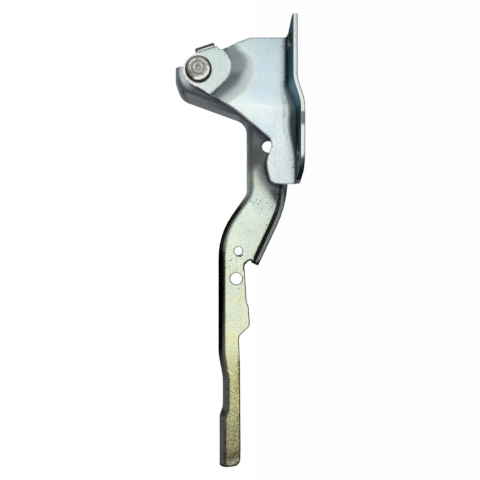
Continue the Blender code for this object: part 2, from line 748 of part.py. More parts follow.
def pivot_pieces(home, steel, dark, bearing, zinc):
    """Rivet, ring under its head, bearing bush and rear washer, stacked along the pivot."""
    ring_rear = PAD_FRONT_Y - FIT_GAP
    ring_front = ring_rear - HEAD_WASHER_THICK
    head_rear = ring_front - FIT_GAP
    head_front = head_rear - HEAD_HEIGHT
    washer_front = EYE_REAR_Y + FIT_GAP
    washer_rear = washer_front + REAR_WASHER_THICK
    formed_front = washer_rear + FIT_GAP
    formed_rear = formed_front + FORMED_HEAD_HEIGHT
    bore = SHANK_RADIUS + FIT_GAP
    turned_piece("pivot_rivet", [
        (0.0, head_front + 0.0004),
        (HEAD_BOSS_RADIUS, head_front + 0.0004),
        (HEAD_BOSS_RADIUS + 0.0004, head_front + 0.0009),
        (HEAD_RING_RADIUS, head_front + 0.0007),
        (HEAD_RING_RADIUS + 0.0006, head_front),
        (HEAD_RADIUS - HEAD_CHAMFER, head_front),
        (HEAD_RADIUS, head_front + HEAD_CHAMFER),
        (HEAD_RADIUS, head_rear),
        (SHANK_RADIUS, head_rear),
        (SHANK_RADIUS, formed_front),
        (FORMED_HEAD_RADIUS, formed_front),
        (FORMED_HEAD_RADIUS, formed_front + 0.0010),
        (FORMED_HEAD_RADIUS * 0.8, formed_rear - 0.0004),
        (FORMED_HEAD_RADIUS * 0.5, formed_rear),
        (0.0, formed_rear),
    ], home, steel)
    turned_piece("head_washer", [
        (HEAD_WASHER_RADIUS - 0.0003, ring_front),
        (HEAD_WASHER_RADIUS, ring_front + 0.0003),
        (HEAD_WASHER_RADIUS, ring_rear),
        (bore, ring_rear),
        (bore, ring_front),
    ], home, dark)
    flange_front = PAD_REAR_Y + FIT_GAP
    flange_rear = flange_front + BUSH_FLANGE
    turned_piece("pivot_bush", [
        (BUSH_FLANGE_RADIUS, flange_front),
        (BUSH_FLANGE_RADIUS, flange_rear),
        (bore + BUSH_WALL, flange_rear),
        (bore + BUSH_WALL, EYE_REAR_Y),
        (bore, EYE_REAR_Y),
        (bore, flange_front),
    ], home, bearing)
    turned_piece("rear_washer", [
        (REAR_WASHER_RADIUS, washer_front),
        (REAR_WASHER_RADIUS, washer_rear),
        (bore, washer_rear),
        (bore, washer_front),
    ], home, zinc)


def pivot_place():
    """The pivot's place from the origin, on the flange's outer face at the body bolts' distance out."""
    inner_face = bracket_fold(0.0, bracket_blank_v(0.0, BODY_BOLT_REACH))
    outer_z = inner_face[2] - BRACKET_SHEET / math.cos(bracket_lean(0.0))
    return Vector((0.0, -inner_face[1], -outer_z))


def hang_on_pivot(collections):
    """Parents every piece to an empty on the joint's axis."""
    pivot = bpy.data.objects.new("pivot_axis", None)
    pivot.empty_display_size = PAD_RADIUS
    pivot.location = pivot_place()
    bpy.context.scene.collection.objects.link(pivot)
    for group in collections:
        for piece in group.objects:
            piece.parent = pivot


def build():
    """Clears the file and models the hinge."""
    clear_scene()
    parts = collection("hood_hinge")
    cutters = collection("cutters")
    zinc = finish_material("bright_zinc_plating", (0.72, 0.78, 0.76), 0.38, 0.55)
    arm_zinc = finish_material("pale_zinc_plating", (0.72, 0.77, 0.68), 0.42, 0.50)
    steel = finish_material("turned_steel", (0.45, 0.44, 0.41), 0.42, 0.85)
    dark = finish_material("dark_ring", (0.05, 0.055, 0.055), 0.55, 0.3)
    bearing = finish_material("bearing_bronze", (0.35, 0.30, 0.22), 0.45, 0.7)
    body_bracket(parts, zinc)
    hood_arm(parts, cutters, arm_zinc)
    pivot_pieces(parts, steel, dark, bearing, zinc)
    hang_on_pivot([parts, cutters])


build()
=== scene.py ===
"""Hood hinge: zinc-plated body bracket and gooseneck hood arm on one shouldered rivet, on a pale floor."""

import json
import math

import bmesh
import bpy
import numpy as np
from mathutils import Matrix, Vector, geometry


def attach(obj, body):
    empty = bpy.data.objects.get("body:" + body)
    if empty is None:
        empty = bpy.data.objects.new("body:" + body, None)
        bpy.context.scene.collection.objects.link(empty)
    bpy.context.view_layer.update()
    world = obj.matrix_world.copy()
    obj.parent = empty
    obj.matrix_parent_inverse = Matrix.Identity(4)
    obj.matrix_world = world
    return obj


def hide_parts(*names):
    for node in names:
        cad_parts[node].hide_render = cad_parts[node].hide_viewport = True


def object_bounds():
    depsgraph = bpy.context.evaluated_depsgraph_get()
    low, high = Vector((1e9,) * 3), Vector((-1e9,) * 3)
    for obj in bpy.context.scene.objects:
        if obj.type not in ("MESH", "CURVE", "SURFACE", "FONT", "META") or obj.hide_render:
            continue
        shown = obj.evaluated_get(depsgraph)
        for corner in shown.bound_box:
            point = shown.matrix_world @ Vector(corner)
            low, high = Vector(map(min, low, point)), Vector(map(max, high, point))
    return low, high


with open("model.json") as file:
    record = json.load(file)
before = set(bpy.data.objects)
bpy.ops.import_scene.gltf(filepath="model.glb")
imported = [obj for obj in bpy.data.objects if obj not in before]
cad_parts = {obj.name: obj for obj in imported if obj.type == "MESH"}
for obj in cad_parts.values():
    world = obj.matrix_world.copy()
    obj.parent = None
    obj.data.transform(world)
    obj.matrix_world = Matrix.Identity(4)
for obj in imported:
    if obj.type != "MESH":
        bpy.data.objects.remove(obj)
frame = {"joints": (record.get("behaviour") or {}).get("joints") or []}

cad_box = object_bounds()

# Body bracket: one blank of 3.5 mm sheet, dished round the pivot and folded once into the flange that bolts
# to the body side, with a stop tab bent back behind the pad. Bright zinc plating covers the whole stamping.
# Every piece is drawn from the pivot: x rearwards, y away from the rivet's head, z up, in metres.
pivot = Vector(frame["joints"][0]["pos_m"])

bracket_sheet = 0.0035
arm_sheet = 0.0030
web_gap = 0.0010
fit_gap = 0.0003
pad_step = 0.0080
bush_flange = 0.0010
web_front = -web_gap - bracket_sheet
pad_front = web_front + pad_step
pad_rear = pad_front + bracket_sheet
eye_front = pad_rear + fit_gap + bush_flange + fit_gap
eye_rear = eye_front + arm_sheet
shank_radius = 0.0050

pad_radius = 0.0126
pad_edge_end = math.radians(143.5)
dish_centre = Vector((0.0042, -0.0105))
dish_floor_radius = 0.0162
dish_line_angle = math.radians(-138.6)
dish_edge_shifts = ((0.0100, 0.0015), (-0.0137, 0.0), (-0.0208, -0.0010))
dish_slope_widths = ((0.0240, 0.0155), (-0.0053, 0.0205), (-0.0137, 0.0190), (-0.0208, 0.0115))
dish_fillet = 0.0006
slope_shares = (
    -0.04, -0.013, 0.013, 0.04, 0.11, 0.18, 0.26, 0.34,
    0.42, 0.50, 0.58, 0.67, 0.76, 0.85, 0.94, 1.03,
)
slope_line_steps = 80
slope_run_start = 0.030
slope_run_length = 0.064
web_rear_x = 0.0229
bracket_front_x = -0.0932

flange_reach = 0.0265
flange_root_z = (-0.0694, -0.0771)
flange_edge_z = (-0.0725, -0.0781)
flange_bends = [(-0.0050, 0.0025), (-0.0450, 0.0090), (-0.0780, 0.0016)]
joggle_x = (-0.0130, -0.0380)
ear_x = 0.0317
ear_foot_reach = 0.0085
ear_top_reach = 0.0215
ear_round = 0.0040
nose_length = 0.0170
nose_foot_reach = 0.0015
nose_knee_length = 0.0085
nose_knee_reach = 0.0215
nose_round = 0.0110
body_bolt_radius = 0.0068
body_bolt_xs = (0.0137, 0.0137 - 0.0829)
body_bolt_reach = 0.0145

tab_distance = 0.0180
tab_angle = math.radians(18.5)
tab_start = 0.0026
tab_width = 0.0160
tab_bend = 0.0050
tab_reach = 0.0125

mesh_step = 0.0019
grid_rise = 0.866
wall_step = 0.0028
bend_steps = 10
edge_margin = 0.0014
edge_roll = 0.0006
edge_burr = 0.00025
edge_hold = 0.0004
edge_round_steps = 4
arc_step = math.radians(6.0)


def smoothstep(t):
    """0 below 0, 1 above 1, with level ends."""
    t = min(max(t, 0.0), 1.0)
    return t * t * (3.0 - 2.0 * t)


def between(x, points):
    """Height at x of a curve through a few (x, height) points, in falling x, level at each point."""
    for (x0, y0), (x1, y1) in zip(points, points[1:]):
        if x >= x1:
            return y0 + (y1 - y0) * smoothstep((x0 - x) / (x0 - x1))
    return points[-1][1]


def arc(centre_x, centre_z, radius, start, end):
    """Points on an arc, from one angle to another."""
    count = max(2, math.ceil(abs(end - start) / arc_step))
    angles = [start + (end - start) * i / count for i in range(count + 1)]
    return [(centre_x + radius * math.cos(a), centre_z + radius * math.sin(a)) for a in angles]


def circle(centre_x, centre_z, radius, sides=64):
    """Points round a circle, without the first one repeated."""
    turns = [math.tau * i / sides for i in range(sides)]
    return [(centre_x + radius * math.cos(a), centre_z + radius * math.sin(a)) for a in turns]


def rounded(corners):
    """A path through corners (x, z, radius), each turned by an arc of its radius; the ends stay."""
    path = [tuple(corners[0][:2])]
    for before, here, after in zip(corners, corners[1:], corners[2:]):
        point = Vector(here[:2])
        back = Vector(before[:2]) - point
        on = Vector(after[:2]) - point
        half = back.angle(on) / 2
        if here[2] <= 0.0 or half > math.radians(89.0):
            path.append(tuple(point))
            continue
        cut_back = min(here[2] / math.tan(half), 0.49 * back.length, 0.49 * on.length)
        radius = cut_back * math.tan(half)
        middle = point + (back.normalized() + on.normalized()).normalized() * (radius / math.sin(half))
        first = point + back.normalized() * cut_back - middle
        last = point + on.normalized() * cut_back - middle
        start = math.atan2(first.y, first.x)
        sweep = (math.atan2(last.y, last.x) - start + math.pi) % math.tau - math.pi
        path += arc(middle.x, middle.y, radius, start, start + sweep)
    path.append(tuple(corners[-1][:2]))
    return path


def divided(path, longest=mesh_step):
    """The path with its long runs cut into equal pieces."""
    points = [path[0]]
    for a, b in zip(path, path[1:]):
        count = max(1, math.ceil(math.dist(a, b) / longest))
        for i in range(1, count + 1):
            points.append((a[0] + (b[0] - a[0]) * i / count, a[1] + (b[1] - a[1]) * i / count))
    return points


def gap_to(points, loops):
    """Distance from each point to the nearest edge of the closed loops."""
    best = np.full(len(points), 1.0)
    for loop in loops:
        first = np.array(loop)
        along = np.roll(first, -1, axis=0) - first
        share = ((points[:, None] - first) * along).sum(2) / ((along ** 2).sum(1) + 1e-18)
        off = points[:, None] - first - share.clip(0.0, 1.0)[..., None] * along
        best = np.minimum(best, np.sqrt((off ** 2).sum(2)).min(1))
    return best


def within(points, loop):
    """Whether each point lies inside a closed loop."""
    x, z = np.array(points).T
    hit = np.zeros(len(x), bool)
    for (x0, z0), (x1, z1) in zip(loop, loop[1:] + loop[:1]):
        if z0 != z1:
            hit ^= ((z0 > z) != (z1 > z)) & (x < x0 + (x1 - x0) * (z - z0) / (z1 - z0))
    return hit


def cut_blank(outline, holes, creases, plain):
    """Spots and triangles of a flat blank: creases stay as lines, and a grid fills it where plain says."""
    loops = [outline, *holes]
    corner = np.array(outline).min(0)
    columns, rows = ((np.array(outline).max(0) - corner) / mesh_step / (1.0, grid_rise)).astype(int) + 2
    grid = np.array([
        (corner[0] + mesh_step * (i + 0.5 * (j % 2)), corner[1] + mesh_step * grid_rise * j)
        for j in range(rows)
        for i in range(columns)
    ])
    keep = within(grid, outline) & (gap_to(grid, loops) > edge_margin)
    for hole in holes:
        keep &= ~within(grid, hole)
    keep &= np.array([plain(x, z) for x, z in grid])
    points = []
    edges = []
    for loop in loops:
        first = len(points)
        points += [Vector(p) for p in loop]
        edges += [(first + i, first + (i + 1) % len(loop)) for i in range(len(loop))]
    for line in creases:
        spots = np.array(line)
        clear = ~within(spots, outline) | (gap_to(spots, loops) > edge_margin)
        kept = [Vector(p) for p, good in zip(line, clear) if good]
        first = len(points)
        points += kept
        edges += [(first + i, first + i + 1) for i in range(len(kept) - 1)]
    points += [Vector(p) for p in grid[keep]]
    found = geometry.delaunay_2d_cdt(points, edges, [], 0, 1e-7)
    spots = np.array([tuple(p) for p in found[0]])
    faces = [tuple(face) for face in found[2]]
    centres = np.array([spots[list(face)].mean(0) for face in faces])
    solid = within(centres, outline)
    for hole in holes:
        solid &= ~within(centres, hole)
    return spots.tolist(), [face for face, good in zip(faces, solid) if good]


def bend_rows(start, away, front, radius, reach):
    """Points down a square bend away from the head: start on the web, away along it, reach past its front."""
    rows = []
    for i in range(bend_steps):
        turn = math.radians(90.0) * i / bend_steps
        out = radius * math.sin(turn)
        depth = front + radius * (1.0 - math.cos(turn))
        rows.append((start[0] + away.x * out, depth, start[1] + away.y * out))
    side = (start[0] + away.x * radius, start[1] + away.y * radius)
    count = max(1, round((reach - radius) / wall_step))
    for i in range(count + 1):
        rows.append((side[0], front + radius + (reach - radius) * i / count, side[1]))
    return rows


def ribbon(rows_by_station):
    """Quads between neighbouring rows of points."""
    faces = []
    for here, there in zip(rows_by_station, rows_by_station[1:]):
        for i in range(len(here) - 1):
            faces.append((here[i], here[i + 1], there[i + 1], there[i]))
    return faces


def rim_profile(thickness):
    """Steps across a sheared edge, as (outward, deep): rolled over in front, a small burr round behind."""
    quarter = [math.radians(90.0) * i / edge_round_steps for i in range(edge_round_steps + 1)]
    front = [(-edge_roll * (1.0 - math.sin(a)), edge_roll * (1.0 - math.cos(a))) for a in quarter]
    back = [(-edge_burr * (1.0 - math.cos(a)), thickness - edge_burr * (1.0 - math.sin(a))) for a in quarter]
    return [(-edge_roll - edge_hold, 0.0), *front, *back, (-edge_burr - edge_hold, thickness)]


def front_skin(faces):
    """The faces of a sheet's front, joined into one mesh that looks towards the rivet's head."""
    skin = bmesh.new()
    for face in faces:
        skin.faces.new([skin.verts.new(p) for p in face])
    bmesh.ops.remove_doubles(skin, verts=skin.verts, dist=3e-6)
    bmesh.ops.dissolve_degenerate(skin, dist=1e-6, edges=skin.edges)
    bmesh.ops.recalc_face_normals(skin, faces=skin.faces)
    if sum(face.normal.y * face.calc_area() for face in skin.faces) > 0.0:
        bmesh.ops.reverse_faces(skin, faces=skin.faces)
    skin.normal_update()
    return skin


def rim_of(skin):
    """The open edges of a skin, and at each of their points the ways out from the sheet."""
    rim_edges = []
    outs = {}
    for face in skin.faces:
        for loop in face.loops:
            if len(loop.edge.link_faces) > 1:
                continue
            here, there = loop.vert, loop.link_loop_next.vert
            out = (there.co - here.co).cross(face.normal).normalized()
            rim_edges.append((here, there))
            outs.setdefault(here, []).append(out)
            outs.setdefault(there, []).append(out)
    return rim_edges, outs


def drawn(name, work):
    """A mesh with what has been drawn in a bmesh, which is then freed."""
    mesh = bpy.data.meshes.new(name)
    work.to_mesh(mesh)
    work.free()
    return mesh


def placed(name, data, place=(0.0, 0.0, 0.0)):
    """A new object of the scene, at a place."""
    made = bpy.data.objects.new(name, data)
    made.location = place
    bpy.context.scene.collection.objects.link(made)
    return made


def stamping(name, faces, thickness, rubbing_and_shade):
    """A closed sheet from the faces of its front skin, with its cut edges rolled over by the die.

    Its points carry marks for the finish: cut_edge on the sheared band, near_edge on the whole rim, corner
    where the rim turns over, and one more mark, from the last argument, for how much the press has rubbed the
    skin, which also marks where bends take painted shade.
    """
    skin = front_skin(faces)
    rim_edges, outs = rim_of(skin)
    profile = rim_profile(thickness)
    last = len(profile) - 1
    roll_end = 1 + edge_round_steps
    solid = bmesh.new()
    cut_edge = solid.verts.layers.float.new("cut_edge")
    near_edge = solid.verts.layers.float.new("near_edge")
    # this mark holds the press's rubbing, and also where bends take painted shade
    rubbed_and_shaded = solid.verts.layers.float.new("rubbed_and_shaded")
    corner = solid.verts.layers.float.new("corner")
    front = {}
    back = {}
    rings = {}
    for vert in skin.verts:
        if vert not in outs:
            front[vert] = solid.verts.new(vert.co)
            front[vert][rubbed_and_shaded] = rubbing_and_shade(vert.co)
            back[vert] = solid.verts.new(vert.co - vert.normal * thickness)
            continue
        out = sum(outs[vert], Vector()).normalized()
        out = (out - vert.normal * out.dot(vert.normal)).normalized()
        stretch = 1.0 / max(out.dot(outs[vert][0]), 0.6)
        rings[vert] = []
        for step, (outward, deep) in enumerate(profile):
            ring = solid.verts.new(vert.co + out * outward * stretch - vert.normal * deep)
            ring[cut_edge] = 1.0 if 1 < step < last - 1 else 0.0
            ring[near_edge] = 1.0
            ring[rubbed_and_shaded] = rubbing_and_shade(vert.co)
            ring[corner] = 0.0 if step in (0, roll_end, last) else 1.0
            rings[vert].append(ring)
        front[vert] = rings[vert][0]
        back[vert] = rings[vert][-1]
    for face in skin.faces:
        solid.faces.new([front[v] for v in face.verts])
        solid.faces.new([back[v] for v in reversed(face.verts)])
    for here, there in rim_edges:
        for i in range(last):
            solid.faces.new((rings[there][i], rings[here][i], rings[here][i + 1], rings[there][i + 1]))
    skin.free()
    mesh = drawn(name, solid)
    mesh.shade_smooth()
    return placed(name, mesh, pivot)


def dress(piece, material, body, node):
    """Gives a piece its finish, lets it ride on its body and stand for its node."""
    piece.data.materials.clear()
    piece.data.materials.append(material)
    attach(piece, body)
    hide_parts(node)


def bracket_bend(x):
    """Inner radius of the bend between the bracket's web and flange."""
    return between(x, flange_bends)


def joggled(x, rear_front):
    """A flange height that steps from its rear value to its front value across the joggle."""
    return between(x, list(zip(joggle_x, rear_front)))


def flange_turn(x):
    """Angle through which the flange is folded: square, less its lean towards the free edge."""
    return math.pi / 2 - math.atan2(joggled(x, flange_root_z) - joggled(x, flange_edge_z), flange_reach)


def bracket_root(x):
    """Height at which the bracket's web starts to bend into its flange."""
    return joggled(x, flange_root_z) + bracket_bend(x) * math.tan(flange_turn(x) / 2)


dish_out = Vector((math.cos(dish_line_angle), math.sin(dish_line_angle)))
dish_along = Vector((dish_out.y, -dish_out.x))


def dish_place(x, z):
    """Distance along the edge of the dish's floor, an arc that runs on as a line, and out from it."""
    from_centre = Vector((x, z)) - dish_centre
    run = from_centre.dot(dish_along)
    if run > 0.0:
        return run, from_centre.dot(dish_out) - dish_floor_radius - between(run, dish_edge_shifts)
    run = -dish_floor_radius * from_centre.angle(dish_out, 0.0)
    return run, from_centre.length - dish_floor_radius - between(run, dish_edge_shifts)


def dish_point(run, share):
    """The spot at a distance along the floor's edge, a share of the way up the slope."""
    reach = dish_floor_radius + between(run, dish_edge_shifts) + between(run, dish_slope_widths) * share
    if run > 0.0:
        return dish_centre + dish_out * reach + dish_along * run
    angle = dish_line_angle - run / dish_floor_radius
    return dish_centre + Vector((math.cos(angle), math.sin(angle))) * reach


def bracket_depth(x, z):
    """Front face of the bracket's web: flat, with the dished pad set back and its floor's edge eased."""
    run, out = dish_place(x, z)
    width = between(run, dish_slope_widths)
    shares = [1.0 - (out + dish_fillet * k) / width for k in (-1.0, -0.5, 0.0, 0.5, 1.0)]
    return web_front + pad_step * sum(min(max(share, 0.0), 1.0) ** 2 for share in shares) / len(shares)


def bracket_fold(x, v):
    """Place of a point of the bracket's flat blank: x along it, v across it from the pivot's height."""
    root = bracket_root(x)
    if v <= -root:
        return (x, bracket_depth(x, -v), -v)
    bend = bracket_bend(x)
    turn = flange_turn(x)
    bent = min((v + root) / bend, turn)
    straight = max(v + root - bend * turn, 0.0)
    across = bend * math.sin(bent) + straight * math.cos(turn)
    out = bend * (1.0 - math.cos(bent)) + straight * math.sin(turn)
    return (x, web_front - out, root - across)


def blank_v(x, reach):
    """Distance across the blank at which the folded flange has gone this far out from the web."""
    bend = bracket_bend(x)
    turn = flange_turn(x)
    if reach < bend:
        return -bracket_root(x) + bend * math.acos(1.0 - reach / bend)
    return -bracket_root(x) + bend * turn + (reach - bend * (1.0 - math.cos(turn))) / math.sin(turn)


def bracket_outline(tab_left, tab_right):
    """Edge of the bracket's flat blank, from the tab's left end round the pad and down to the flange."""
    pad_start = math.asin(min(tab_left.y / pad_radius, 1.0)) + math.radians(6.0)
    pad = arc(0.0, 0.0, pad_radius, pad_start, pad_edge_end)
    front = bracket_front_x
    lower_left = rounded([
        pad[-1],
        (-0.0345, -0.0308, 0.120),
        (-0.0572, -0.0577, 0.009),
        (-0.0620, -0.0586, 0.010),
        (-0.0765, -0.0538, 0.020),
        (front + 0.0012, -0.0577, 0.0055),
        (front, -0.0670, 0.006),
        (front, bracket_root(front), 0.0),
    ])
    knee_x = front + nose_knee_length
    nose_end = front + nose_length
    nose_line = rounded([
        (front, -bracket_root(front)),
        (front, blank_v(front, nose_foot_reach), nose_round),
        (knee_x, blank_v(knee_x, nose_knee_reach), nose_round),
        (nose_end, blank_v(nose_end, flange_reach), nose_round),
        (nose_end + nose_round, blank_v(nose_end + nose_round, flange_reach)),
    ])
    edge_start = nose_end + nose_round
    edge_end = ear_x - 2 * ear_round
    xs = [edge_start + (edge_end - edge_start) * i / 50 for i in range(1, 50)]
    free_edge = [(x, blank_v(x, flange_reach)) for x in xs]
    ear = rounded([
        (edge_end, blank_v(edge_end, flange_reach)),
        (ear_x, blank_v(ear_x, flange_reach), 0.0012),
        (ear_x, blank_v(ear_x, ear_top_reach), ear_round),
        (web_rear_x, blank_v(web_rear_x, ear_foot_reach), ear_round),
        (web_rear_x, -bracket_root(web_rear_x) - 0.006),
    ])
    web_top = rounded([
        (web_rear_x, -0.0600),
        (web_rear_x, -0.0415, 0.012),
        (0.0165, -0.0235, 0.005),
        (0.0163, -0.0172, 0.0022),
        (tab_right.x + 0.0006, tab_right.y - 0.0012, 0.0),
        tuple(tab_right),
    ])
    tab_foot = divided([tuple(tab_right), tuple(tab_left)])[1:]
    web_side = divided(pad)[:-1] + divided(lower_left)
    return (
        [(x, -z) for x, z in web_side]
        + divided(nose_line)[1:]
        + free_edge
        + divided(ear)
        + [(x, -z) for x, z in divided(web_top) + tab_foot]
    )


def bracket_creases():
    """Mesh lines of the dish's slope and of the flange's bend."""
    lines = []
    for share in slope_shares:
        row = [dish_point(slope_run_start - slope_run_length * i / slope_line_steps, share)
               for i in range(slope_line_steps + 1)]
        lines.append([(spot.x, -spot.y) for spot in row])
    inner = [bracket_front_x + 0.0016, web_rear_x - 0.0016]
    xs = [bracket_front_x - 0.002]
    xs += [inner[0] + (inner[1] - inner[0]) * i / 60 for i in range(61)]
    xs += [web_rear_x + 0.002]
    for share in [i / 9 for i in range(10)]:
        lines.append([(x, -bracket_root(x) + bracket_bend(x) * flange_turn(x) * share) for x in xs])
    return lines


def bracket_plain(x, v):
    """Whether a spot of the blank lies clear of the dish's slope and of the flange's bend."""
    run, out = dish_place(x, -v)
    on_slope = -0.0020 < out < between(run, dish_slope_widths) + 0.0018
    past_root = v + bracket_root(x)
    return not on_slope and not -0.0012 < past_root < bracket_bend(x) * flange_turn(x) + 0.0012


def bracket_rubbing_and_shade(spot):
    """Rubbed by the press along the edge of the dish's floor and where the flange starts to bend; the bend's
    mark also places painted shade there.
    """
    out = dish_place(spot.x, spot.z)[1]
    past_root = spot.z - bracket_root(spot.x)
    floor_edge = math.exp(-((out - 0.0002) / 0.0010) ** 2)
    bend_edge = 0.8 * math.exp(-(past_root / 0.0014) ** 2)
    return max(floor_edge, bend_edge)


tab_out = Vector((math.cos(tab_angle), math.sin(tab_angle)))
tab_along = Vector((math.sin(tab_angle), -math.cos(tab_angle)))
tab_left = tab_out * (tab_distance - tab_bend) + tab_along * tab_start
tab_right = tab_left + tab_along * tab_width
bracket_holes = [circle(0.0, 0.0, shank_radius + fit_gap)]
bracket_holes += [circle(x, blank_v(x, body_bolt_reach), body_bolt_radius) for x in body_bolt_xs]
spots, triangles = cut_blank(
    bracket_outline(tab_left, tab_right), bracket_holes, bracket_creases(), bracket_plain
)
folded = [bracket_fold(x, v) for x, v in spots]
bracket_faces = [[folded[i] for i in triangle] for triangle in triangles]
tab_stations = divided([tuple(tab_right), tuple(tab_left)])
bracket_faces += ribbon([bend_rows(p, tab_out, pad_front, tab_bend, tab_reach) for p in tab_stations])
bracket = stamping("bracket_stamping", bracket_faces, bracket_sheet, bracket_rubbing_and_shade)


class Finish:
    """The nodes of one procedural finish, with a short way to add and join them."""

    def __init__(self, name, metallic):
        self.material = bpy.data.materials.new(name)
        self.material.use_nodes = True
        self.nodes = self.material.node_tree.nodes
        self.shader = self.nodes["Principled BSDF"]
        self.shader.inputs["Metallic"].default_value = metallic
        self.place = self.add("ShaderNodeTexCoord").outputs["Object"]
        apart = self.add("ShaderNodeSeparateXYZ", Vector=self.place).outputs
        self.x = apart["X"]
        self.y = apart["Y"]
        self.z = apart["Z"]

    def add(self, kind, settings=(), **sockets):
        """A node with its settings; each socket is given a value or another node's output."""
        node = self.nodes.new(kind)
        for key, value in dict(settings).items():
            setattr(node, key, value)
        for key, value in sockets.items():
            socket = node.inputs[int(key[1:])] if key[1:].isdigit() else node.inputs[key.replace("_", " ")]
            self.join(value, socket)
        return node

    def join(self, value, socket):
        """Links an output to a socket, or sets the socket's own value or colour."""
        if isinstance(value, bpy.types.NodeSocket):
            self.material.node_tree.links.new(value, socket)
        elif socket.type == "RGBA":
            socket.default_value = (*value, 1.0)
        else:
            socket.default_value = value

    def stretched(self, x, y, z):
        """The place on the piece, stretched along the axes."""
        return self.add("ShaderNodeMapping", Vector=self.place, Scale=(x, y, z)).outputs["Vector"]

    def from_pivot(self):
        """Distance of a point from the pivot's axis."""
        flat = self.stretched(1.0, 0.0, 1.0)
        return self.add("ShaderNodeVectorMath", {"operation": "LENGTH"}, _0=flat).outputs["Value"]

    def noise(self, scale, detail=3.0, place=None):
        """Cloudy noise, 0 to 1; scale is in clouds to the metre."""
        where = self.place if place is None else place
        return self.add("ShaderNodeTexNoise", Vector=where, Scale=scale, Detail=detail).outputs["Fac"]

    def grit(self, scale):
        """A chance value for each small grain of the surface, 0 to 1; scale is in grains to the metre."""
        cells = self.add("ShaderNodeTexVoronoi", Vector=self.place, Scale=scale)
        return self.add("ShaderNodeSeparateColor", Color=cells.outputs["Color"]).outputs["Red"]

    def span(self, value, low, high, to_low=0.0, to_high=1.0):
        """The value carried from low and high to 0 and 1, and held there."""
        return self.add(
            "ShaderNodeMapRange", {"clamp": True, "interpolation_type": "SMOOTHSTEP"},
            Value=value, From_Min=low, From_Max=high, To_Min=to_low, To_Max=to_high,
        ).outputs["Result"]

    def where(self, *spans):
        """The product of several spans, each given as its value and its limits."""
        return self.times(*[self.span(*limits) for limits in spans])

    def window(self, value, rise, fall):
        """Up from 0 to 1 over the first pair of values and down again over the second."""
        return self.where((value, *rise), (value, fall[1], fall[0]))

    def steps(self, operation, values):
        """One arithmetic step after another."""
        total = values[0]
        for value in values[1:]:
            total = self.add("ShaderNodeMath", {"operation": operation}, _0=total, _1=value).outputs["Value"]
        return total

    def plus(self, *values):
        """The values added up."""
        return self.steps("ADD", values)

    def minus(self, value, less):
        """The value less another."""
        return self.steps("SUBTRACT", (value, less))

    def times(self, *values):
        """The values multiplied."""
        return self.steps("MULTIPLY", values)

    def largest(self, *values):
        """The largest of the values."""
        return self.steps("MAXIMUM", values)

    def sine(self, value):
        """The sine of the value."""
        return self.add("ShaderNodeMath", {"operation": "SINE"}, _0=value).outputs["Value"]

    def off(self, value, middle):
        """How far the value lies from a middle, to either side."""
        apart = self.minus(value, middle)
        return self.add("ShaderNodeMath", {"operation": "ABSOLUTE"}, _0=apart).outputs["Value"]

    def along(self, direction):
        """How far a point lies from the pivot in a direction of the x and z plane."""
        return self.plus(self.times(self.x, direction[0]), self.times(self.z, direction[1]))

    def mix(self, share, a, b):
        """Colour a turning into colour b."""
        node = self.add("ShaderNodeMix", {"data_type": "RGBA"})
        colour_sockets = [s for s in node.inputs if s.type == "RGBA"]
        self.join(share, node.inputs["Factor"])
        self.join(a, colour_sockets[0])
        self.join(b, colour_sockets[1])
        return [s for s in node.outputs if s.type == "RGBA"][0]

    def mark(self, name):
        """A value stored on the mesh's points."""
        return self.add("ShaderNodeAttribute", {"attribute_name": name}).outputs["Fac"]

    def bump(self, height, strength, distance, under=None):
        """Fine relief from a height."""
        node = self.add("ShaderNodeBump", Strength=strength, Distance=distance, Height=height)
        if under is not None:
            self.join(under, node.inputs["Normal"])
        return node.outputs["Normal"]

    def shine(self, shader):
        """Gives the surface another shader's output, and hands back the material."""
        self.join(shader.outputs[0], self.nodes["Material Output"].inputs["Surface"])
        return self.material

    def done(self, colour, roughness, normal, metallic=None, tint=None):
        """Joins the finish to its shader."""
        self.join(colour, self.shader.inputs["Base Color"])
        self.join(roughness, self.shader.inputs["Roughness"])
        self.join(normal, self.shader.inputs["Normal"])
        if metallic is not None:
            self.join(metallic, self.shader.inputs["Metallic"])
        if tint is not None:
            self.join(tint, self.shader.inputs["Specular Tint"])
        return self.material


# Web tones: blue-white plating, with painted light making the fore tones whiter than the rear ones
zinc_rear_upper_shaded = (0.65, 0.78, 0.76)
zinc_rear_lower_shaded = (0.56, 0.71, 0.77)
zinc_fore_upper_lit = (0.90, 0.97, 0.93)
zinc_fore_lower_lit = (0.88, 0.97, 0.97)
zinc_streak = (0.86, 0.90, 0.83)
painted_sheen = (0.96, 0.98, 0.92)
zinc_blue = (0.62, 0.77, 0.90)
zinc_grain = (0.45, 0.55, 0.60)
zinc_chip = (0.90, 0.93, 0.91)
zinc_pit = (0.05, 0.055, 0.055)
zinc_sheared = (0.84, 0.85, 0.80)
# painted highlights: whiter, less metallic marks on the tab's top, the free edge's strip and the pad's rim
matt_highlight_white = (0.86, 0.89, 0.87)
eye_rim_highlight = (0.95, 0.96, 0.95)
bend_shade = (0.24, 0.31, 0.35)
# painted shade inside the flange, in colour and in the specular tint
flange_shade_at_bend = (0.045, 0.065, 0.080)
flange_shade_at_edge = (0.15, 0.24, 0.27)
flange_shade_at_joggle = (0.34, 0.50, 0.57)
flange_shade_glance = (0.30, 0.42, 0.46)
joggle_shade_glance = (0.62, 0.76, 0.82)
# painted shade on the dish's slope, painted light on its border and painted shade at its steep end
dish_shade = (0.44, 0.54, 0.64)
dish_border_light = (0.80, 0.88, 0.90)
dish_steep_shade = (0.30, 0.35, 0.35)
# painted shade in the tab's crease
tab_crease_shade = (0.10, 0.12, 0.12)
edge_shade_grey = (0.20, 0.22, 0.22)
edge_shade_glance = (0.16, 0.17, 0.17)
edge_line_shade_and_stain = (0.085, 0.090, 0.095)
plain_glance = (1.0, 1.0, 1.0)
sheen_x = -0.0345
edge_stain_x = -0.0465
nose_stain_x = (-0.0735, -0.0775)
tab_root = tab_distance - tab_bend


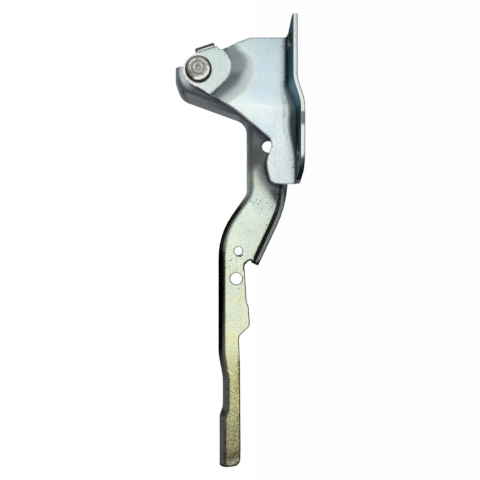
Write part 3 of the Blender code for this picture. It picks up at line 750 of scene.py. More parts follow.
def web_zinc(finish, cloud, streak, wander):
    """The open web's colour: bluer below, with pale streaks, painted light that makes it whiter forwards than
    at the rear, and a painted band of sheen.
    """
    # painted light: the web grows whiter forwards and darker to the rear
    forward = finish.span(finish.plus(finish.x, wander), 0.025, -0.070)
    lower = finish.span(finish.plus(finish.z, wander), -0.020, -0.062)
    shaded_rear_tone = finish.mix(lower, zinc_rear_upper_shaded, zinc_rear_lower_shaded)
    lit_fore_tone = finish.mix(lower, zinc_fore_upper_lit, zinc_fore_lower_lit)
    colour = finish.mix(forward, shaded_rear_tone, lit_fore_tone)
    pale = finish.where((streak, 0.35, 0.72), (cloud, 0.0, 1.0, 0.15, 0.5))
    colour = finish.mix(pale, colour, zinc_streak)
    # painted sheen: a pale band of highlight across the web
    off_sheen = finish.off(finish.plus(finish.x, wander), sheen_x)
    sheen = finish.where((off_sheen, 0.006, 0.001, 0.0, 0.45), (finish.z, -0.030, -0.040))
    colour = finish.mix(sheen, colour, painted_sheen)
    blue = finish.window(finish.z, (-0.030, -0.048), (-0.060, -0.068))
    blue = finish.times(blue, finish.span(finish.noise(34.0, 2.0), 0.42, 0.60), 0.45)
    return finish.mix(blue, colour, zinc_blue)


def flange_shading(finish, colour, inner_face, joggle, wander):
    """The colour with dark painted shade inside the flange, lighter at the free edge and at the joggle."""
    outer = finish.span(finish.plus(finish.y, wander), web_front - 0.004, web_front - flange_reach)
    inner_shade = finish.mix(outer, flange_shade_at_bend, flange_shade_at_edge)
    inner_shade = finish.mix(joggle, inner_shade, flange_shade_at_joggle)
    return finish.mix(inner_face, colour, inner_shade)


def dish_shading(finish, colour, slope, slope_start):
    """The colour with painted shade on the dish's slope towards its floor, and painted light along its outer
    border.
    """
    deep = finish.span(finish.y, web_front + 0.0026, pad_front - 0.0016, 0.45, 0.9)
    colour = finish.mix(finish.times(slope, deep), colour, dish_shade)
    return finish.mix(finish.times(slope_start, 0.5), colour, dish_border_light)


def press_specks(finish, colour):
    """The colour with grain, white chips where the die rubbed and dark pits; and the pits by themselves."""
    grained = finish.where((finish.x, -0.030, -0.046), (finish.z, -0.040, -0.060))
    mottle = finish.times(finish.grit(1500.0), finish.plus(finish.times(grained, 0.32), 0.15))
    colour = finish.mix(mottle, colour, zinc_grain)
    patchy = finish.span(finish.noise(110.0, 2.0), 0.36, 0.56, 0.10, 0.22)
    rubbed = finish.times(finish.mark("rubbed_and_shaded"), patchy)
    at_bend = finish.times(rubbed, finish.span(finish.z, -0.056, -0.050, 0.55, 1.0))
    at_rim = finish.span(finish.y, web_front - 0.018, web_front - 0.014, 0.02, 0.09)
    at_rim = finish.times(finish.mark("near_edge"), at_rim)
    clusters = finish.span(finish.noise(45.0, 2.0), 0.50, 0.66, 0.0, 0.02)
    top_edge = finish.times(finish.mark("near_edge"), finish.span(finish.x, 0.010, 0.014))
    on_web = finish.times(finish.largest(finish.times(grained, 0.4), top_edge), 0.03)
    crowd = finish.plus(at_bend, at_rim, clusters, on_web)
    chips = finish.times(rubbed, finish.span(finish.z, -0.050, -0.045, 0.3, 3.0))
    chips = finish.span(finish.plus(finish.grit(1600.0), chips), 1.02, 1.06)
    colour = finish.mix(chips, colour, zinc_chip)
    pits = finish.span(finish.plus(finish.grit(1550.0), finish.times(crowd, 1.6)), 1.01, 1.05)
    return finish.mix(finish.times(pits, 0.75), colour, zinc_pit), pits


def tab_marks(finish, from_root):
    """Where the stop tab takes painted shade in its crease and on its rear and end, and a painted highlight
    on its top.
    """
    across = finish.along(tab_along)
    end = finish.where((from_root, 0.0002, 0.0006), (across, tab_start + 0.0016, tab_start + 0.0009))
    rear = finish.largest(finish.span(from_root, 0.0015, 0.0020), end)
    rear = finish.times(rear, finish.span(finish.y, pad_front + tab_bend + 0.0025, pad_front + tab_bend))
    crease = finish.where((from_root, -0.0006, -0.0002, 0.0, 0.8), (from_root, 0.0004, 0.0001))
    top = finish.window(from_root, (0.0004, 0.0008), (0.0015, 0.0019))
    return crease, finish.times(top, finish.span(end, 0.5, 0.0)), rear


def edge_marks(finish, edge):
    """Along the flange's free edge: where a painted highlight whitens its strip, and where painted shade
    lines and stains darken it.
    """
    # painted highlight on the strip of the free edge
    strip_highlight = finish.times(edge, finish.span(finish.y, web_front - 0.0240, web_front - 0.0255))
    past_web = finish.span(finish.y, web_front - 0.0160, web_front - 0.0200)
    # painted shade lines along the turned-over corners of the rim
    lines = finish.times(finish.span(finish.mark("corner"), 0.80, 0.95), past_web, 0.85)
    joggle_stain = finish.span(finish.off(finish.x, edge_stain_x), 0.0065, 0.0035, 0.0, 0.8)
    nose_stain = finish.span(finish.x, *nose_stain_x, 0.0, 0.85)
    stain = finish.times(edge, finish.largest(joggle_stain, nose_stain))
    stain = finish.times(stain, finish.span(finish.y, -0.010, -0.014))
    dark = finish.largest(lines, stain)
    return finish.times(strip_highlight, finish.minus(1.0, dark)), dark


def bright_zinc():
    """Bright zinc plating, blue-white, streaked along the rolled sheet, rubbed and pitted by the press, with
    painted light and shade on its web, bends, flange, dish, tab and edges.
    """
    finish = Finish("bright_zinc", 1.0)
    cloud = finish.span(finish.noise(42.0), 0.35, 0.65)
    streak = finish.noise(1.0, 4.0, finish.stretched(28.0, 120.0, 420.0))
    wander = finish.times(finish.minus(finish.noise(30.0, 2.0), 0.5), 0.05)
    edge = finish.span(finish.mark("cut_edge"), 0.3, 0.9)
    inner_face = finish.where((finish.y, web_front - 0.0001, web_front - 0.0018), (edge, 0.5, 0.0))
    joggle = finish.window(finish.x, (-0.012, -0.022), (-0.030, -0.042))
    slope_rise = (web_front + 0.0002, web_front + 0.0026)
    slope = finish.window(finish.y, slope_rise, (pad_front - 0.0010, pad_front - 0.0003))
    border_fall = (web_front + 0.0006, web_front + 0.0034)
    slope_start = finish.window(finish.y, (web_front, web_front + 0.0004), border_fall)
    colour = web_zinc(finish, cloud, streak, wander)
    shaded = finish.times(finish.mark("rubbed_and_shaded"), finish.span(finish.z, -0.056, -0.061, 0.0, 0.65))
    colour = finish.mix(shaded, colour, bend_shade)
    colour = flange_shading(finish, colour, inner_face, joggle, wander)
    colour = dish_shading(finish, colour, slope, slope_start)
    colour, pits = press_specks(finish, colour)
    sheared = finish.times(finish.mark("cut_edge"), finish.span(finish.noise(260.0), 0.35, 0.7, 0.1, 0.7))
    colour = finish.mix(sheared, colour, zinc_sheared)
    from_root = finish.minus(finish.along(tab_out), tab_root)
    tab_crease_shading, tab_top_highlight, tab_rear_shade = tab_marks(finish, from_root)
    # painted shade in the tab's crease
    colour = finish.mix(tab_crease_shading, colour, tab_crease_shade)
    # painted shade on the walls of the flange's bolt holes, on the tab's ends and on its rear, in colour and
    # in the specular tint
    bore_rise = (web_front - 0.024, web_front - 0.022)
    bores = finish.window(finish.y, bore_rise, (web_front - 0.0075, web_front - 0.0065))
    tab_ends = finish.where((finish.x, 0.0075, 0.0085), (finish.y, 0.0035, 0.0042))
    edge_shade = finish.largest(finish.times(edge, finish.largest(bores, tab_ends)), tab_rear_shade)
    colour = finish.mix(finish.times(edge_shade, 0.95), colour, edge_shade_grey)
    # the reflections inside the flange are tinted darker as painted shade
    glance = finish.mix(inner_face, plain_glance, finish.mix(joggle, flange_shade_glance, joggle_shade_glance))
    tint = finish.mix(edge_shade, glance, edge_shade_glance)
    free_edge_highlight, edge_shade_and_stains = edge_marks(finish, edge)
    # painted highlight on the rim round the pad
    eye_span = (finish.from_pivot(), pad_radius + 0.0016, pad_radius + 0.0008)
    lit_eye_rim = finish.where(eye_span, (finish.mark("near_edge"), 0.0, 0.6))
    # painted highlights are whiter and less metallic
    matt = finish.largest(tab_top_highlight, finish.times(free_edge_highlight, 0.7), lit_eye_rim)
    matt = finish.times(matt, finish.span(pits, 0.0, 0.6, 0.85, 0.0))
    colour = finish.mix(finish.times(matt, 0.8), colour, matt_highlight_white)
    colour = finish.mix(finish.times(lit_eye_rim, 0.8), colour, eye_rim_highlight)
    # painted shade on the dish's steep slope beside the tab
    steep_shade = finish.times(finish.where((finish.x, -0.006, 0.002), (from_root, -0.0040, -0.0070)), slope)
    colour = finish.mix(steep_shade, colour, dish_steep_shade)
    colour = finish.mix(edge_shade_and_stains, colour, edge_line_shade_and_stain)
    matt = finish.largest(matt, finish.times(steep_shade, 0.8), finish.times(slope_start, 0.45))
    grain = finish.noise(1500.0, 2.0)
    roughness = finish.span(grain, 0.2, 0.8, 0.24, 0.31)
    roughness = finish.plus(roughness, finish.times(cloud, 0.04), finish.times(slope_start, 0.16))
    relief = finish.bump(grain, 0.10, 0.0002)
    relief = finish.bump(streak, 0.06, 0.0004, relief)
    return finish.done(colour, roughness, relief, finish.minus(1.0, matt), tint)


dress(bracket, bright_zinc(), "bracket", "body_bracket")

# Hood arm: one blank of 3 mm sheet. Its web steps back to the pivot behind the bracket, its hood side is bent
# into a deep flange that wraps round the pivot as a horn, and a shorter flange stiffens the neck. It has the
# same plating, gone yellow along the long arm, with dark specks towards its front end.
arm_length = 0.3195
arm_step_length = 0.0340
arm_step_at = Vector((-0.0880, -0.0435))
arm_step_side = Vector((0.500, -0.866))
arm_step = eye_front
horn_end_x = 0.0039
horn_z = 0.0195
neck_z = -0.0395
neck_rear_x = -0.0379
neck_front_x = -0.0996
shoulder_x = -0.1330
hood_face_z = -0.0160
rear_pad_end_x = -0.2300
front_pad_start_x = -0.2790
front_pad_drop = 0.0009
front_pad_slant = 0.0077
pad_ramp = 0.0062
rear_ramp = 0.0186
rear_ramp_round = 0.0400
pad_recess = 0.0035
arm_bend = 0.0062
hood_flange_reach = 0.0300
horn_flange_reach = 0.0380
stiffener_reach = 0.0150
stiffener_z = -0.0729
stiffener_tip = (-0.1584, -0.0482)
strip_edge_z = -0.0336
eye_radius = 0.0126
front_corner_round = 0.0075
gauge_hole = (-0.0615, -0.0564, 0.00495)
lock_hole = (-0.1464, -0.0321, 0.00330)
jig_hole = (-0.1686, -0.0304, 0.00470)
bush_wall = 0.0012
hood_slot_radius = 0.0045
hood_slot_length = 0.0160
hood_slot_xs = (-0.2990, -0.1860)
hood_slot_deep = 0.0165
contour_step = 0.0025


def arm_depth(x, z):
    """Front face of the arm's web, which steps back towards the pivot's plane from two sides."""
    over_rear = x - arm_step_at.x
    over_side = Vector((over_rear, z - arm_step_at.y)).dot(arm_step_side)
    blend = 0.004
    apart = over_rear - over_side
    furthest = (over_rear + over_side + math.sqrt(apart * apart + blend * blend)) / 2.0
    return arm_step * smoothstep((furthest - blend / 4.0) / arm_step_length)


def side_normals(path, side):
    """At each point of a path, the unit vector square to it: side 1 is to its left, -1 to its right."""
    normals = []
    for i in range(len(path)):
        along = (Vector(path[min(i + 1, len(path) - 1)]) - Vector(path[max(i - 1, 0)])).normalized()
        normals.append(Vector((-along.y, along.x)) * side)
    return normals


def hood_contour():
    """Outer line of the hood side of the arm, from its front end to the horn's end."""
    recess = hood_face_z - pad_recess
    front_pad = hood_face_z - front_pad_drop
    return divided(rounded([
        (-arm_length, front_pad),
        (front_pad_start_x, front_pad, 0.008),
        (front_pad_start_x + pad_ramp, recess, 0.008),
        (rear_pad_end_x - rear_ramp, recess, rear_ramp_round),
        (rear_pad_end_x, hood_face_z, rear_ramp_round),
        (shoulder_x, hood_face_z, 0.0600),
        (neck_front_x, neck_z, 0.014),
        (neck_rear_x, neck_z, 0.0120),
        (-0.0161, horn_z, 0.0140),
        (horn_end_x, horn_z),
    ]), contour_step)


def stiffener_contour():
    """Outer line of the stiffening flange, from its tip to its hidden rear end."""
    return divided(rounded([
        stiffener_tip,
        (-0.1061, stiffener_z, 0.130),
        (-0.0600, stiffener_z, 0.050),
        (-0.0290, -0.0600),
    ]), contour_step)


def hood_reach(x):
    """How deep the hood flange is along the arm; the horn is deepest, and the front end falls away."""
    return between(x, [
        (-0.004, horn_flange_reach),
        (-0.036, horn_flange_reach - 0.0015),
        (-0.060, hood_flange_reach),
        (-arm_length + 0.008, hood_flange_reach),
        (-arm_length, hood_flange_reach - 0.004),
    ])


def stiffening_reach(x):
    """How deep the stiffening flange is; it follows the web's step at the rear, and its tip falls away."""
    return between(x, [
        (-0.030, stiffener_reach + 0.0015),
        (-0.050, stiffener_reach + 0.0040),
        (-0.095, stiffener_reach),
        (stiffener_tip[0] + 0.012, stiffener_reach),
        (stiffener_tip[0], stiffener_reach - 0.003),
    ])


def free_edge_z(contour, x):
    """Height of the hood flange's free edge on the long arm, where the front pad's ramp runs at a slant."""
    ahead = x + front_pad_slant * smoothstep((rear_pad_end_x - 4 * pad_ramp - x) / pad_ramp)
    for (x0, z0), (x1, z1) in zip(contour, contour[1:]):
        if x0 <= ahead <= x1:
            return z0 + (z1 - z0) * (ahead - x0) / (x1 - x0)
    return contour[0][1]


def bend_line(contour, side):
    """Where the web starts to bend, inside an outer contour, with the direction back out to it."""
    normals = side_normals(contour, side)
    line = [(x + n.x * arm_bend, z + n.y * arm_bend) for (x, z), n in zip(contour, normals)]
    return line, [-n for n in normals]


def arm_outline(hood_line, stiffener_line):
    """Edge of the arm's web: the two bend lines joined round the eye, the notch and the front end."""
    eye = arc(0.0, 0.0, eye_radius, math.acos(horn_end_x / eye_radius), math.radians(-62.0))
    hidden_edge = rounded([
        eye[-1],
        (0.0030, -0.0230, 0.015),
        (-0.0060, -0.0440, 0.010),
        stiffener_line[-1],
    ])
    strip = rounded([
        stiffener_line[0],
        (-0.1541, -0.0434, 0.0010),
        (-0.1544, -0.0400, 0.0030),
        (-0.1580, -0.0369, 0.0026),
        (-0.1875, -0.0388, 0.006),
        (-0.1905, -0.0403, 0.006),
        (-0.2063, -0.0414, 0.005),
        (-0.2150, -0.0324, 0.006),
        (-0.2360, -0.0334, 0.030),
        (-0.3050, -0.0339, 0.0),
        (-arm_length + 0.0012, strip_edge_z, front_corner_round),
        hood_line[0],
    ])
    return (
        hood_line
        + divided(eye)
        + divided(hidden_edge)[1:]
        + list(reversed(stiffener_line))[1:]
        + divided(strip)[1:-1]
    )


def slot_cutter(x):
    """A round-ended cutter for one bolt slot through the hood flange."""
    half = hood_slot_length / 2 - hood_slot_radius
    ends = arc(x + half, hood_slot_deep, hood_slot_radius, -math.pi / 2, math.pi / 2)
    ends += arc(x - half, hood_slot_deep, hood_slot_radius, math.pi / 2, 3 * math.pi / 2)
    work = bmesh.new()
    face = work.faces.new([work.verts.new((px, py, hood_face_z + 0.004)) for px, py in ends])
    grown = bmesh.ops.extrude_face_region(work, geom=[face])
    moved = [item for item in grown["geom"] if isinstance(item, bmesh.types.BMVert)]
    bmesh.ops.translate(work, verts=moved, vec=(0.0, 0.0, -4.0 * arm_sheet))
    bmesh.ops.recalc_face_normals(work, faces=work.faces)
    return placed("hood_slot_cutter", drawn("hood_slot_cutter", work), pivot)


def applied(piece):
    """The mesh of a piece with its modifiers applied, which are then taken off it."""
    bpy.context.view_layer.update()
    made = bpy.data.meshes.new_from_object(piece.evaluated_get(bpy.context.evaluated_depsgraph_get()))
    piece.modifiers.clear()
    return made


def cut_slots(piece):
    """Cuts the bolt slots into the arm and applies the cuts."""
    cutters = [slot_cutter(x) for x in hood_slot_xs]
    for cutter in cutters:
        cut = piece.modifiers.new("Bolt slot", "BOOLEAN")
        cut.operation = "DIFFERENCE"
        cut.object = cutter
    piece.data = applied(piece)
    for cutter in cutters:
        bpy.data.objects.remove(cutter)
    piece.data.shade_smooth()
    piece.data.set_sharp_from_angle(angle=math.radians(42.0))


def even_rows(rows):
    """Rows of a flange with the same number of points down each, so that neighbours join by quads."""
    count = max(len(row) for row in rows) - bend_steps - 1
    even = []
    for row in rows:
        top = Vector(row[bend_steps])
        foot = Vector(row[-1])
        wall = [tuple(top.lerp(foot, i / count)) for i in range(count + 1)]
        even.append(row[:bend_steps] + wall)
    return even


def flange_rows(line, outs, reach_at):
    """Rows of points down one of the arm's flanges, as deep at each place as reach_at says."""
    rows = []
    for point, out in zip(line, outs):
        front = arm_depth(*point)
        rows.append(bend_rows(point, out, front, arm_bend, reach_at(point[0]) - front))
    return rows


def arm_rubbing_and_shade(spot):
    """Rubbed where the stiffening flange starts to bend, on the shoulder; the same mark places painted black
    shade at that bend.
    """
    nearest = min(math.dist((spot.x, spot.z), point) for point in stiffener_line)
    return math.exp(-(nearest / 0.003) ** 2) if spot.y < 0.004 else 0.0


contour = hood_contour()
hood_line, hood_out = bend_line(contour, -1)
stiffener_line, stiffener_out = bend_line(stiffener_contour(), 1)
arm_bore = shank_radius + fit_gap + bush_wall + fit_gap
arm_holes = [circle(0.0, 0.0, arm_bore), circle(*gauge_hole), circle(*lock_hole), circle(*jig_hole)]
spots, triangles = cut_blank(arm_outline(hood_line, stiffener_line), arm_holes, [], lambda x, z: True)
pressed = [(x, arm_depth(x, z), z) for x, z in spots]
arm_faces = [[pressed[i] for i in triangle] for triangle in triangles]
hood_rows = flange_rows(hood_line, hood_out, hood_reach)
for row in hood_rows:
    if row[-1][0] < rear_pad_end_x:
        straight = len(row) - bend_steps
        slanted = free_edge_z(contour, row[-1][0])
        for i in range(straight):
            x, y, z = row[bend_steps + i]
            row[bend_steps + i] = (x, y, z + (slanted - z) * i / (straight - 1))
arm_faces += ribbon(even_rows(hood_rows))
arm_faces += ribbon(even_rows(flange_rows(stiffener_line, stiffener_out, stiffening_reach)))
arm = stamping("arm_stamping", arm_faces, arm_sheet, arm_rubbing_and_shade)
cut_slots(arm)


arm_green_white = (0.58, 0.68, 0.62)
arm_warm_white = (0.66, 0.73, 0.62)
arm_yellow = (0.70, 0.70, 0.42)
arm_deep_yellow = (0.52, 0.52, 0.26)
arm_olive = (0.33, 0.30, 0.18)
# painted shade and highlight for the arm's step, neck, bends and horn
step_shade = (0.26, 0.295, 0.29)
neck_shade = (0.115, 0.13, 0.15)
bend_shade_at_neck = (0.15, 0.17, 0.19)
bend_shade_at_horn = (0.37, 0.42, 0.46)
bend_shade_at_shoulder = (0.40, 0.45, 0.46)
horn_top_highlight = (0.56, 0.62, 0.66)
front_bend_shade = (0.58, 0.61, 0.60)
stiffener_shade_rear = (0.62, 0.72, 0.78)
stiffener_shade_fore = (0.64, 0.72, 0.71)
# painted black shade on the arm's bends
arm_shade_black = (0.030, 0.033, 0.030)
arm_shade_glance = (0.08, 0.08, 0.08)
arm_rust = (0.15, 0.12, 0.04)
arm_worn_end = (0.82, 0.78, 0.72)
arm_speck = (0.05, 0.042, 0.022)
arm_glint_white = (0.93, 0.94, 0.90)
arm_cut_rim = (0.035, 0.035, 0.03)
glint_way = (-0.633, -0.774)
glint_square = (0.774, -0.633)
glint_line = -0.17239
glint_start = 0.1703
glint_end = 0.1768


def yellowing(finish, cloud, patches, drift, olive):
    """The plating's colour along the arm: green-white at the neck, yellow in patches, then olive."""
    pale = finish.mix(cloud, arm_green_white, arm_warm_white)
    tint = finish.times(finish.plus(finish.times(patches, 0.6), 0.4), finish.span(finish.x, -0.10, -0.20))
    colour = finish.mix(tint, pale, arm_yellow)
    colour = finish.mix(finish.span(drift, -0.195, -0.250), colour, arm_deep_yellow)
    return finish.mix(olive, colour, arm_olive)


def neck_shading(finish, colour, necked, lit_top):
    """The colour with painted shade on the web's step, on the neck behind the bracket, on the horn's bend and
    on the front bend, and a painted highlight on the horn's top.
    """
    over_rear = finish.minus(finish.x, arm_step_at.x)
    over_side = finish.times(finish.minus(finish.z, arm_step_at.y), arm_step_side.y)
    over_side = finish.plus(finish.times(over_rear, arm_step_side.x), over_side)
    stepped = finish.span(finish.largest(over_rear, over_side), -0.001, 0.013)
    colour = finish.mix(finish.times(stepped, 0.95), colour, step_shade)
    colour = finish.mix(necked, colour, neck_shade)
    # painted shade down the hood flange's bend by the horn, neck and shoulder
    at_bend = finish.where((finish.y, arm_step + 0.0004, arm_step + 0.0024), (finish.x, -0.110, -0.090))
    bend_shade_tone = finish.mix(finish.span(finish.x, -0.034, -0.018), bend_shade_at_neck, bend_shade_at_horn)
    bend_shade_tone = finish.mix(finish.span(finish.x, -0.052, -0.066), bend_shade_tone, bend_shade_at_shoulder)
    colour = finish.mix(at_bend, colour, bend_shade_tone)
    # painted highlight on the horn's top
    colour = finish.mix(lit_top, colour, horn_top_highlight)
    # painted shade on the hood flange's bend towards the front
    at_front = finish.where((finish.y, 0.0001, 0.0010), (finish.x, -0.22, -0.25))
    return finish.mix(at_front, colour, front_bend_shade)


def painted_black_bends(finish):
    """Where the arm is painted black as shade: the hood flange's bend, the stiffener's sides, the notch and
    the end.
    """
    on_bend = finish.span(finish.y, arm_bend + 0.0030, arm_bend + 0.0004)
    slanted = finish.plus(finish.z, finish.times(finish.x, 0.44))
    hood_side = finish.where((slanted, -0.0985, -0.0955), (finish.x, -0.165, -0.150))
    hood_side = finish.largest(hood_side, finish.span(finish.z, -0.0290, -0.0260))
    hood_band = finish.window(finish.x, (-0.255, -0.220), (-0.114, -0.098))
    hood_band = finish.times(hood_band, hood_side, finish.span(finish.y, 0.0002, 0.0013), on_bend)
    stiff_side = finish.times(finish.minus(1.0, hood_side), finish.span(finish.x, -0.164, -0.160))
    stiff_band = finish.times(stiff_side, finish.span(finish.y, 0.0004, 0.0020))
    bend_start = finish.times(finish.span(finish.mark("rubbed_and_shaded"), 0.78, 0.97), stiff_side)
    tip = finish.times(stiff_band, finish.span(finish.x, -0.1525, -0.1560))
    outline = finish.times(stiff_side, finish.span(finish.y, 0.0027, 0.0044, 0.0, 0.82))
    outline = finish.times(outline, on_bend, finish.span(finish.x, -0.085, -0.100))
    notch = finish.times(finish.span(finish.x, -0.1485, -0.1505), stiff_side)
    notch = finish.largest(notch, finish.span(finish.x, -0.3142, -0.3160, 0.0, 0.95))
    notch = finish.times(notch, finish.span(finish.mark("near_edge"), 0.3, 0.8))
    return finish.largest(hood_band, bend_start, tip, outline, notch), stiff_band


def front_wear(finish, colour, patches, drift, black):
    """The colour with light grains, rust, a pale scuffed end and dark specks that crowd to the front."""
    worn_end = finish.span(finish.plus(drift, finish.times(patches, 0.003)), -0.3095, -0.3125)
    worn_end = finish.times(worn_end, finish.span(black, 0.2, 0.7, 1.0, 0.0))
    rusted = finish.window(finish.x, (-0.303, -0.309), (-0.3120, -0.3150))
    rusted = finish.times(rusted, finish.span(finish.z, -0.0185, -0.0225))
    colour = finish.mix(finish.times(rusted, 0.45), colour, arm_rust)
    colour = finish.mix(finish.times(worn_end, 0.7), colour, arm_worn_end)
    grains = finish.where((finish.grit(1600.0), 0.0, 1.0, -0.5, 0.5), (finish.x, -0.19, -0.28, 0.22, 0.55))
    brighter = finish.plus(grains, 1.0)
    scaled = finish.add("ShaderNodeVectorMath", {"operation": "SCALE"}, _0=colour, Scale=brighter)
    right_half = finish.where((finish.z, -0.0265, -0.0315), (finish.x, -0.232, -0.250))
    edge_line = finish.where((finish.mark("near_edge"), 0.2, 0.9), (finish.x, -0.225, -0.240))
    crowd = finish.plus(
        finish.span(finish.x, -0.225, -0.290, 0.0, 0.14),
        finish.times(right_half, 0.09),
        finish.times(edge_line, 0.62),
        finish.times(worn_end, 0.26),
        finish.times(rusted, 0.30),
        finish.span(finish.noise(48.0, 2.0), 0.46, 0.64, 0.0, 0.07),
        finish.times(finish.mark("rubbed_and_shaded"), 0.08),
    )
    dark = finish.span(finish.plus(finish.grit(1500.0), crowd), 0.99, 1.03)
    return finish.mix(finish.times(dark, 0.74), scaled.outputs["Vector"], arm_speck)


def painted_glint(finish):
    """A painted glint: a thin bright line across the arm's front ramp."""
    run = finish.along(glint_way)
    return finish.where(
        (finish.off(finish.along(glint_square), glint_line), 0.0005, 0.0002),
        (run, glint_start, glint_start + 0.0008),
        (run, glint_end, glint_end - 0.0018),
    )


def yellowed_zinc():
    """The arm's plating: green-white at the neck, yellow forwards, olive and specked at the front end, with
    painted shade on its neck and bends, a painted highlight on the horn and a painted glint.
    """
    finish = Finish("yellowed_zinc", 1.0)
    cloud = finish.span(finish.noise(60.0), 0.35, 0.65)
    patches = finish.span(finish.noise(95.0, 4.0), 0.46, 0.68)
    drift = finish.plus(finish.x, finish.times(cloud, 0.010))
    olive = finish.span(drift, -0.262, -0.312)
    necked = finish.where((finish.x, -0.066, -0.050), (finish.z, 0.014, 0.008, 0.2, 1.0))
    lit_top = finish.where(
        (finish.from_pivot(), 0.0185, 0.0140), (finish.x, -0.018, -0.006), (finish.z, 0.004, 0.009)
    )
    colour = yellowing(finish, cloud, patches, drift, olive)
    colour = neck_shading(finish, colour, necked, lit_top)
    black, stiff_band = painted_black_bends(finish)
    # painted shade on the stiffening flange
    stiffener_shade_tone = finish.mix(finish.span(finish.x, -0.118, -0.138), stiffener_shade_rear, stiffener_shade_fore)
    colour = finish.mix(finish.times(stiff_band, 0.7), colour, stiffener_shade_tone)
    # painted black shade on the bends, in colour and in the specular tint
    colour = finish.mix(black, colour, arm_shade_black)
    tint = finish.mix(black, plain_glance, arm_shade_glance)
    colour = front_wear(finish, colour, patches, drift, black)
    # painted glint across the front ramp, whiter and less metallic
    glint = painted_glint(finish)
    colour = finish.mix(finish.times(glint, 0.8), colour, arm_glint_white)
    matt = finish.largest(finish.times(necked, 0.35), finish.times(lit_top, 0.9), finish.times(glint, 0.7))
    rim = finish.span(finish.plus(finish.mark("cut_edge"), finish.noise(300.0)), 0.75, 1.15)
    colour = finish.mix(rim, colour, arm_cut_rim)
    grain = finish.noise(1500.0, 2.0)
    roughness = finish.span(grain, 0.2, 0.8, 0.15, 0.20)
    neck_dull = finish.span(finish.x, -0.112, -0.085, 0.0, 0.20)
    roughness = finish.plus(roughness, finish.times(olive, 0.10), neck_dull)
    relief = finish.bump(grain, 0.12, 0.0002)
    return finish.done(colour, roughness, relief, finish.minus(1.0, matt), tint)


dress(arm, yellowed_zinc(), "arm", "hood_arm")

# Pivot: a shouldered rivet with a broad turned head in front and a formed head behind, a dark ring under its
# head, a flanged bronze bush in the arm's eye and a plain washer behind. The heads are bare steel, turned in
# fine rings, and the front one has a shallow dimple round its centre.
head_radius = 0.0092
head_height = 0.0030
head_chamfer = 0.0015
tool_ring_count = 6
tool_ring_deep = 0.00007
dimple_pip_radius = 0.0017
dimple_floor_radius = 0.0021
dimple_wall_radius = 0.0046
dimple_radius = 0.0052
head_ring_thick = 0.0016
head_ring_radius = 0.0107
rear_washer_thick = 0.0015
rear_washer_radius = 0.0105
formed_head_radius = 0.0082
formed_head_height = 0.0026
bush_flange_radius = 0.0105

ring_rear = pad_front - fit_gap
ring_front = ring_rear - head_ring_thick
head_rear = ring_front - fit_gap
head_front = head_rear - head_height
washer_front = eye_rear + fit_gap
washer_rear = washer_front + rear_washer_thick
formed_front = washer_rear + fit_gap
formed_rear = formed_front + formed_head_height
close_bore = shank_radius + fit_gap


def turned(name, profile, ease, steps=120):
    """A turned piece on the pivot's axis from a closed profile of (radius, y), with its corners eased."""
    mesh = bpy.data.meshes.new(name)
    points = [(radius, 0.0, -y) for radius, y in profile]
    edges = [(i, i + 1) for i in range(len(points) - 1)]
    if profile[0][0] > 0.0:
        edges.append((len(points) - 1, 0))
    mesh.from_pydata(points, edges, [])
    piece = placed(name, mesh, pivot)
    piece.rotation_euler = (math.pi / 2, 0.0, 0.0)
    spin = piece.modifiers.new("Turned", "SCREW")
    spin.steps = steps
    spin.render_steps = steps
    spin.use_merge_vertices = True
    spin.merge_threshold = 0.00001
    soften = piece.modifiers.new("Eased corners", "BEVEL")
    soften.width = ease
    soften.segments = 3
    soften.limit_method = "ANGLE"
    soften.angle_limit = math.radians(35.0)
    made = applied(piece)
    made.transform(Matrix.Rotation(math.pi / 2, 4, "X"))
    piece.rotation_euler = (0.0, 0.0, 0.0)
    piece.data = made
    made.shade_smooth()
    made.set_sharp_from_angle(angle=math.radians(40.0))
    return piece


def head_face():
    """The front of the rivet's head from its centre out: a dimple round a pip, then shallow tool rings."""
    points = [
        (0.0, head_front + 0.0004),
        (0.0010, head_front + 0.0004),
        (dimple_pip_radius, head_front + 0.0005),
        (dimple_floor_radius, head_front + 0.0009),
        (dimple_wall_radius, head_front + 0.0007),
        (dimple_radius, head_front),
    ]
    flat = head_radius - head_chamfer - dimple_radius
    for i in range(1, tool_ring_count + 1):
        ring = dimple_radius + flat * i / (tool_ring_count + 1)
        points.append((ring, head_front + tool_ring_deep * (i % 2)))
    return points


steel_rivet = turned("turned_rivet", head_face() + [
    (head_radius - head_chamfer, head_front),
    (head_radius - 0.0003, head_front + 0.00024),
    (head_radius, head_front + 0.0006),
    (head_radius, head_rear),
    (shank_radius, head_rear),
    (shank_radius, formed_front),
    (formed_head_radius, formed_front),
    (formed_head_radius, formed_front + 0.0010),
    (formed_head_radius * 0.93, formed_rear - 0.0008),
    (formed_head_radius * 0.8, formed_rear - 0.0004),
    (formed_head_radius * 0.5, formed_rear),
    (0.0, formed_rear),
], 0.00015)
dark_ring = turned("dark_head_ring", [
    (head_ring_radius, ring_front),
    (head_ring_radius, ring_rear),
    (close_bore, ring_rear),
    (close_bore, ring_front),
], 0.0003)
bronze_bush = turned("bronze_bush", [
    (bush_flange_radius, pad_rear + fit_gap),
    (bush_flange_radius, pad_rear + fit_gap + bush_flange),
    (close_bore + bush_wall, pad_rear + fit_gap + bush_flange),
    (close_bore + bush_wall, eye_rear),
    (close_bore, eye_rear),
    (close_bore, pad_rear + fit_gap),
], 0.0002)
plain_washer = turned("plain_washer", [
    (rear_washer_radius, washer_front),
    (rear_washer_radius, washer_rear),
    (close_bore, washer_rear),
    (close_bore, washer_front),
], 0.0002)

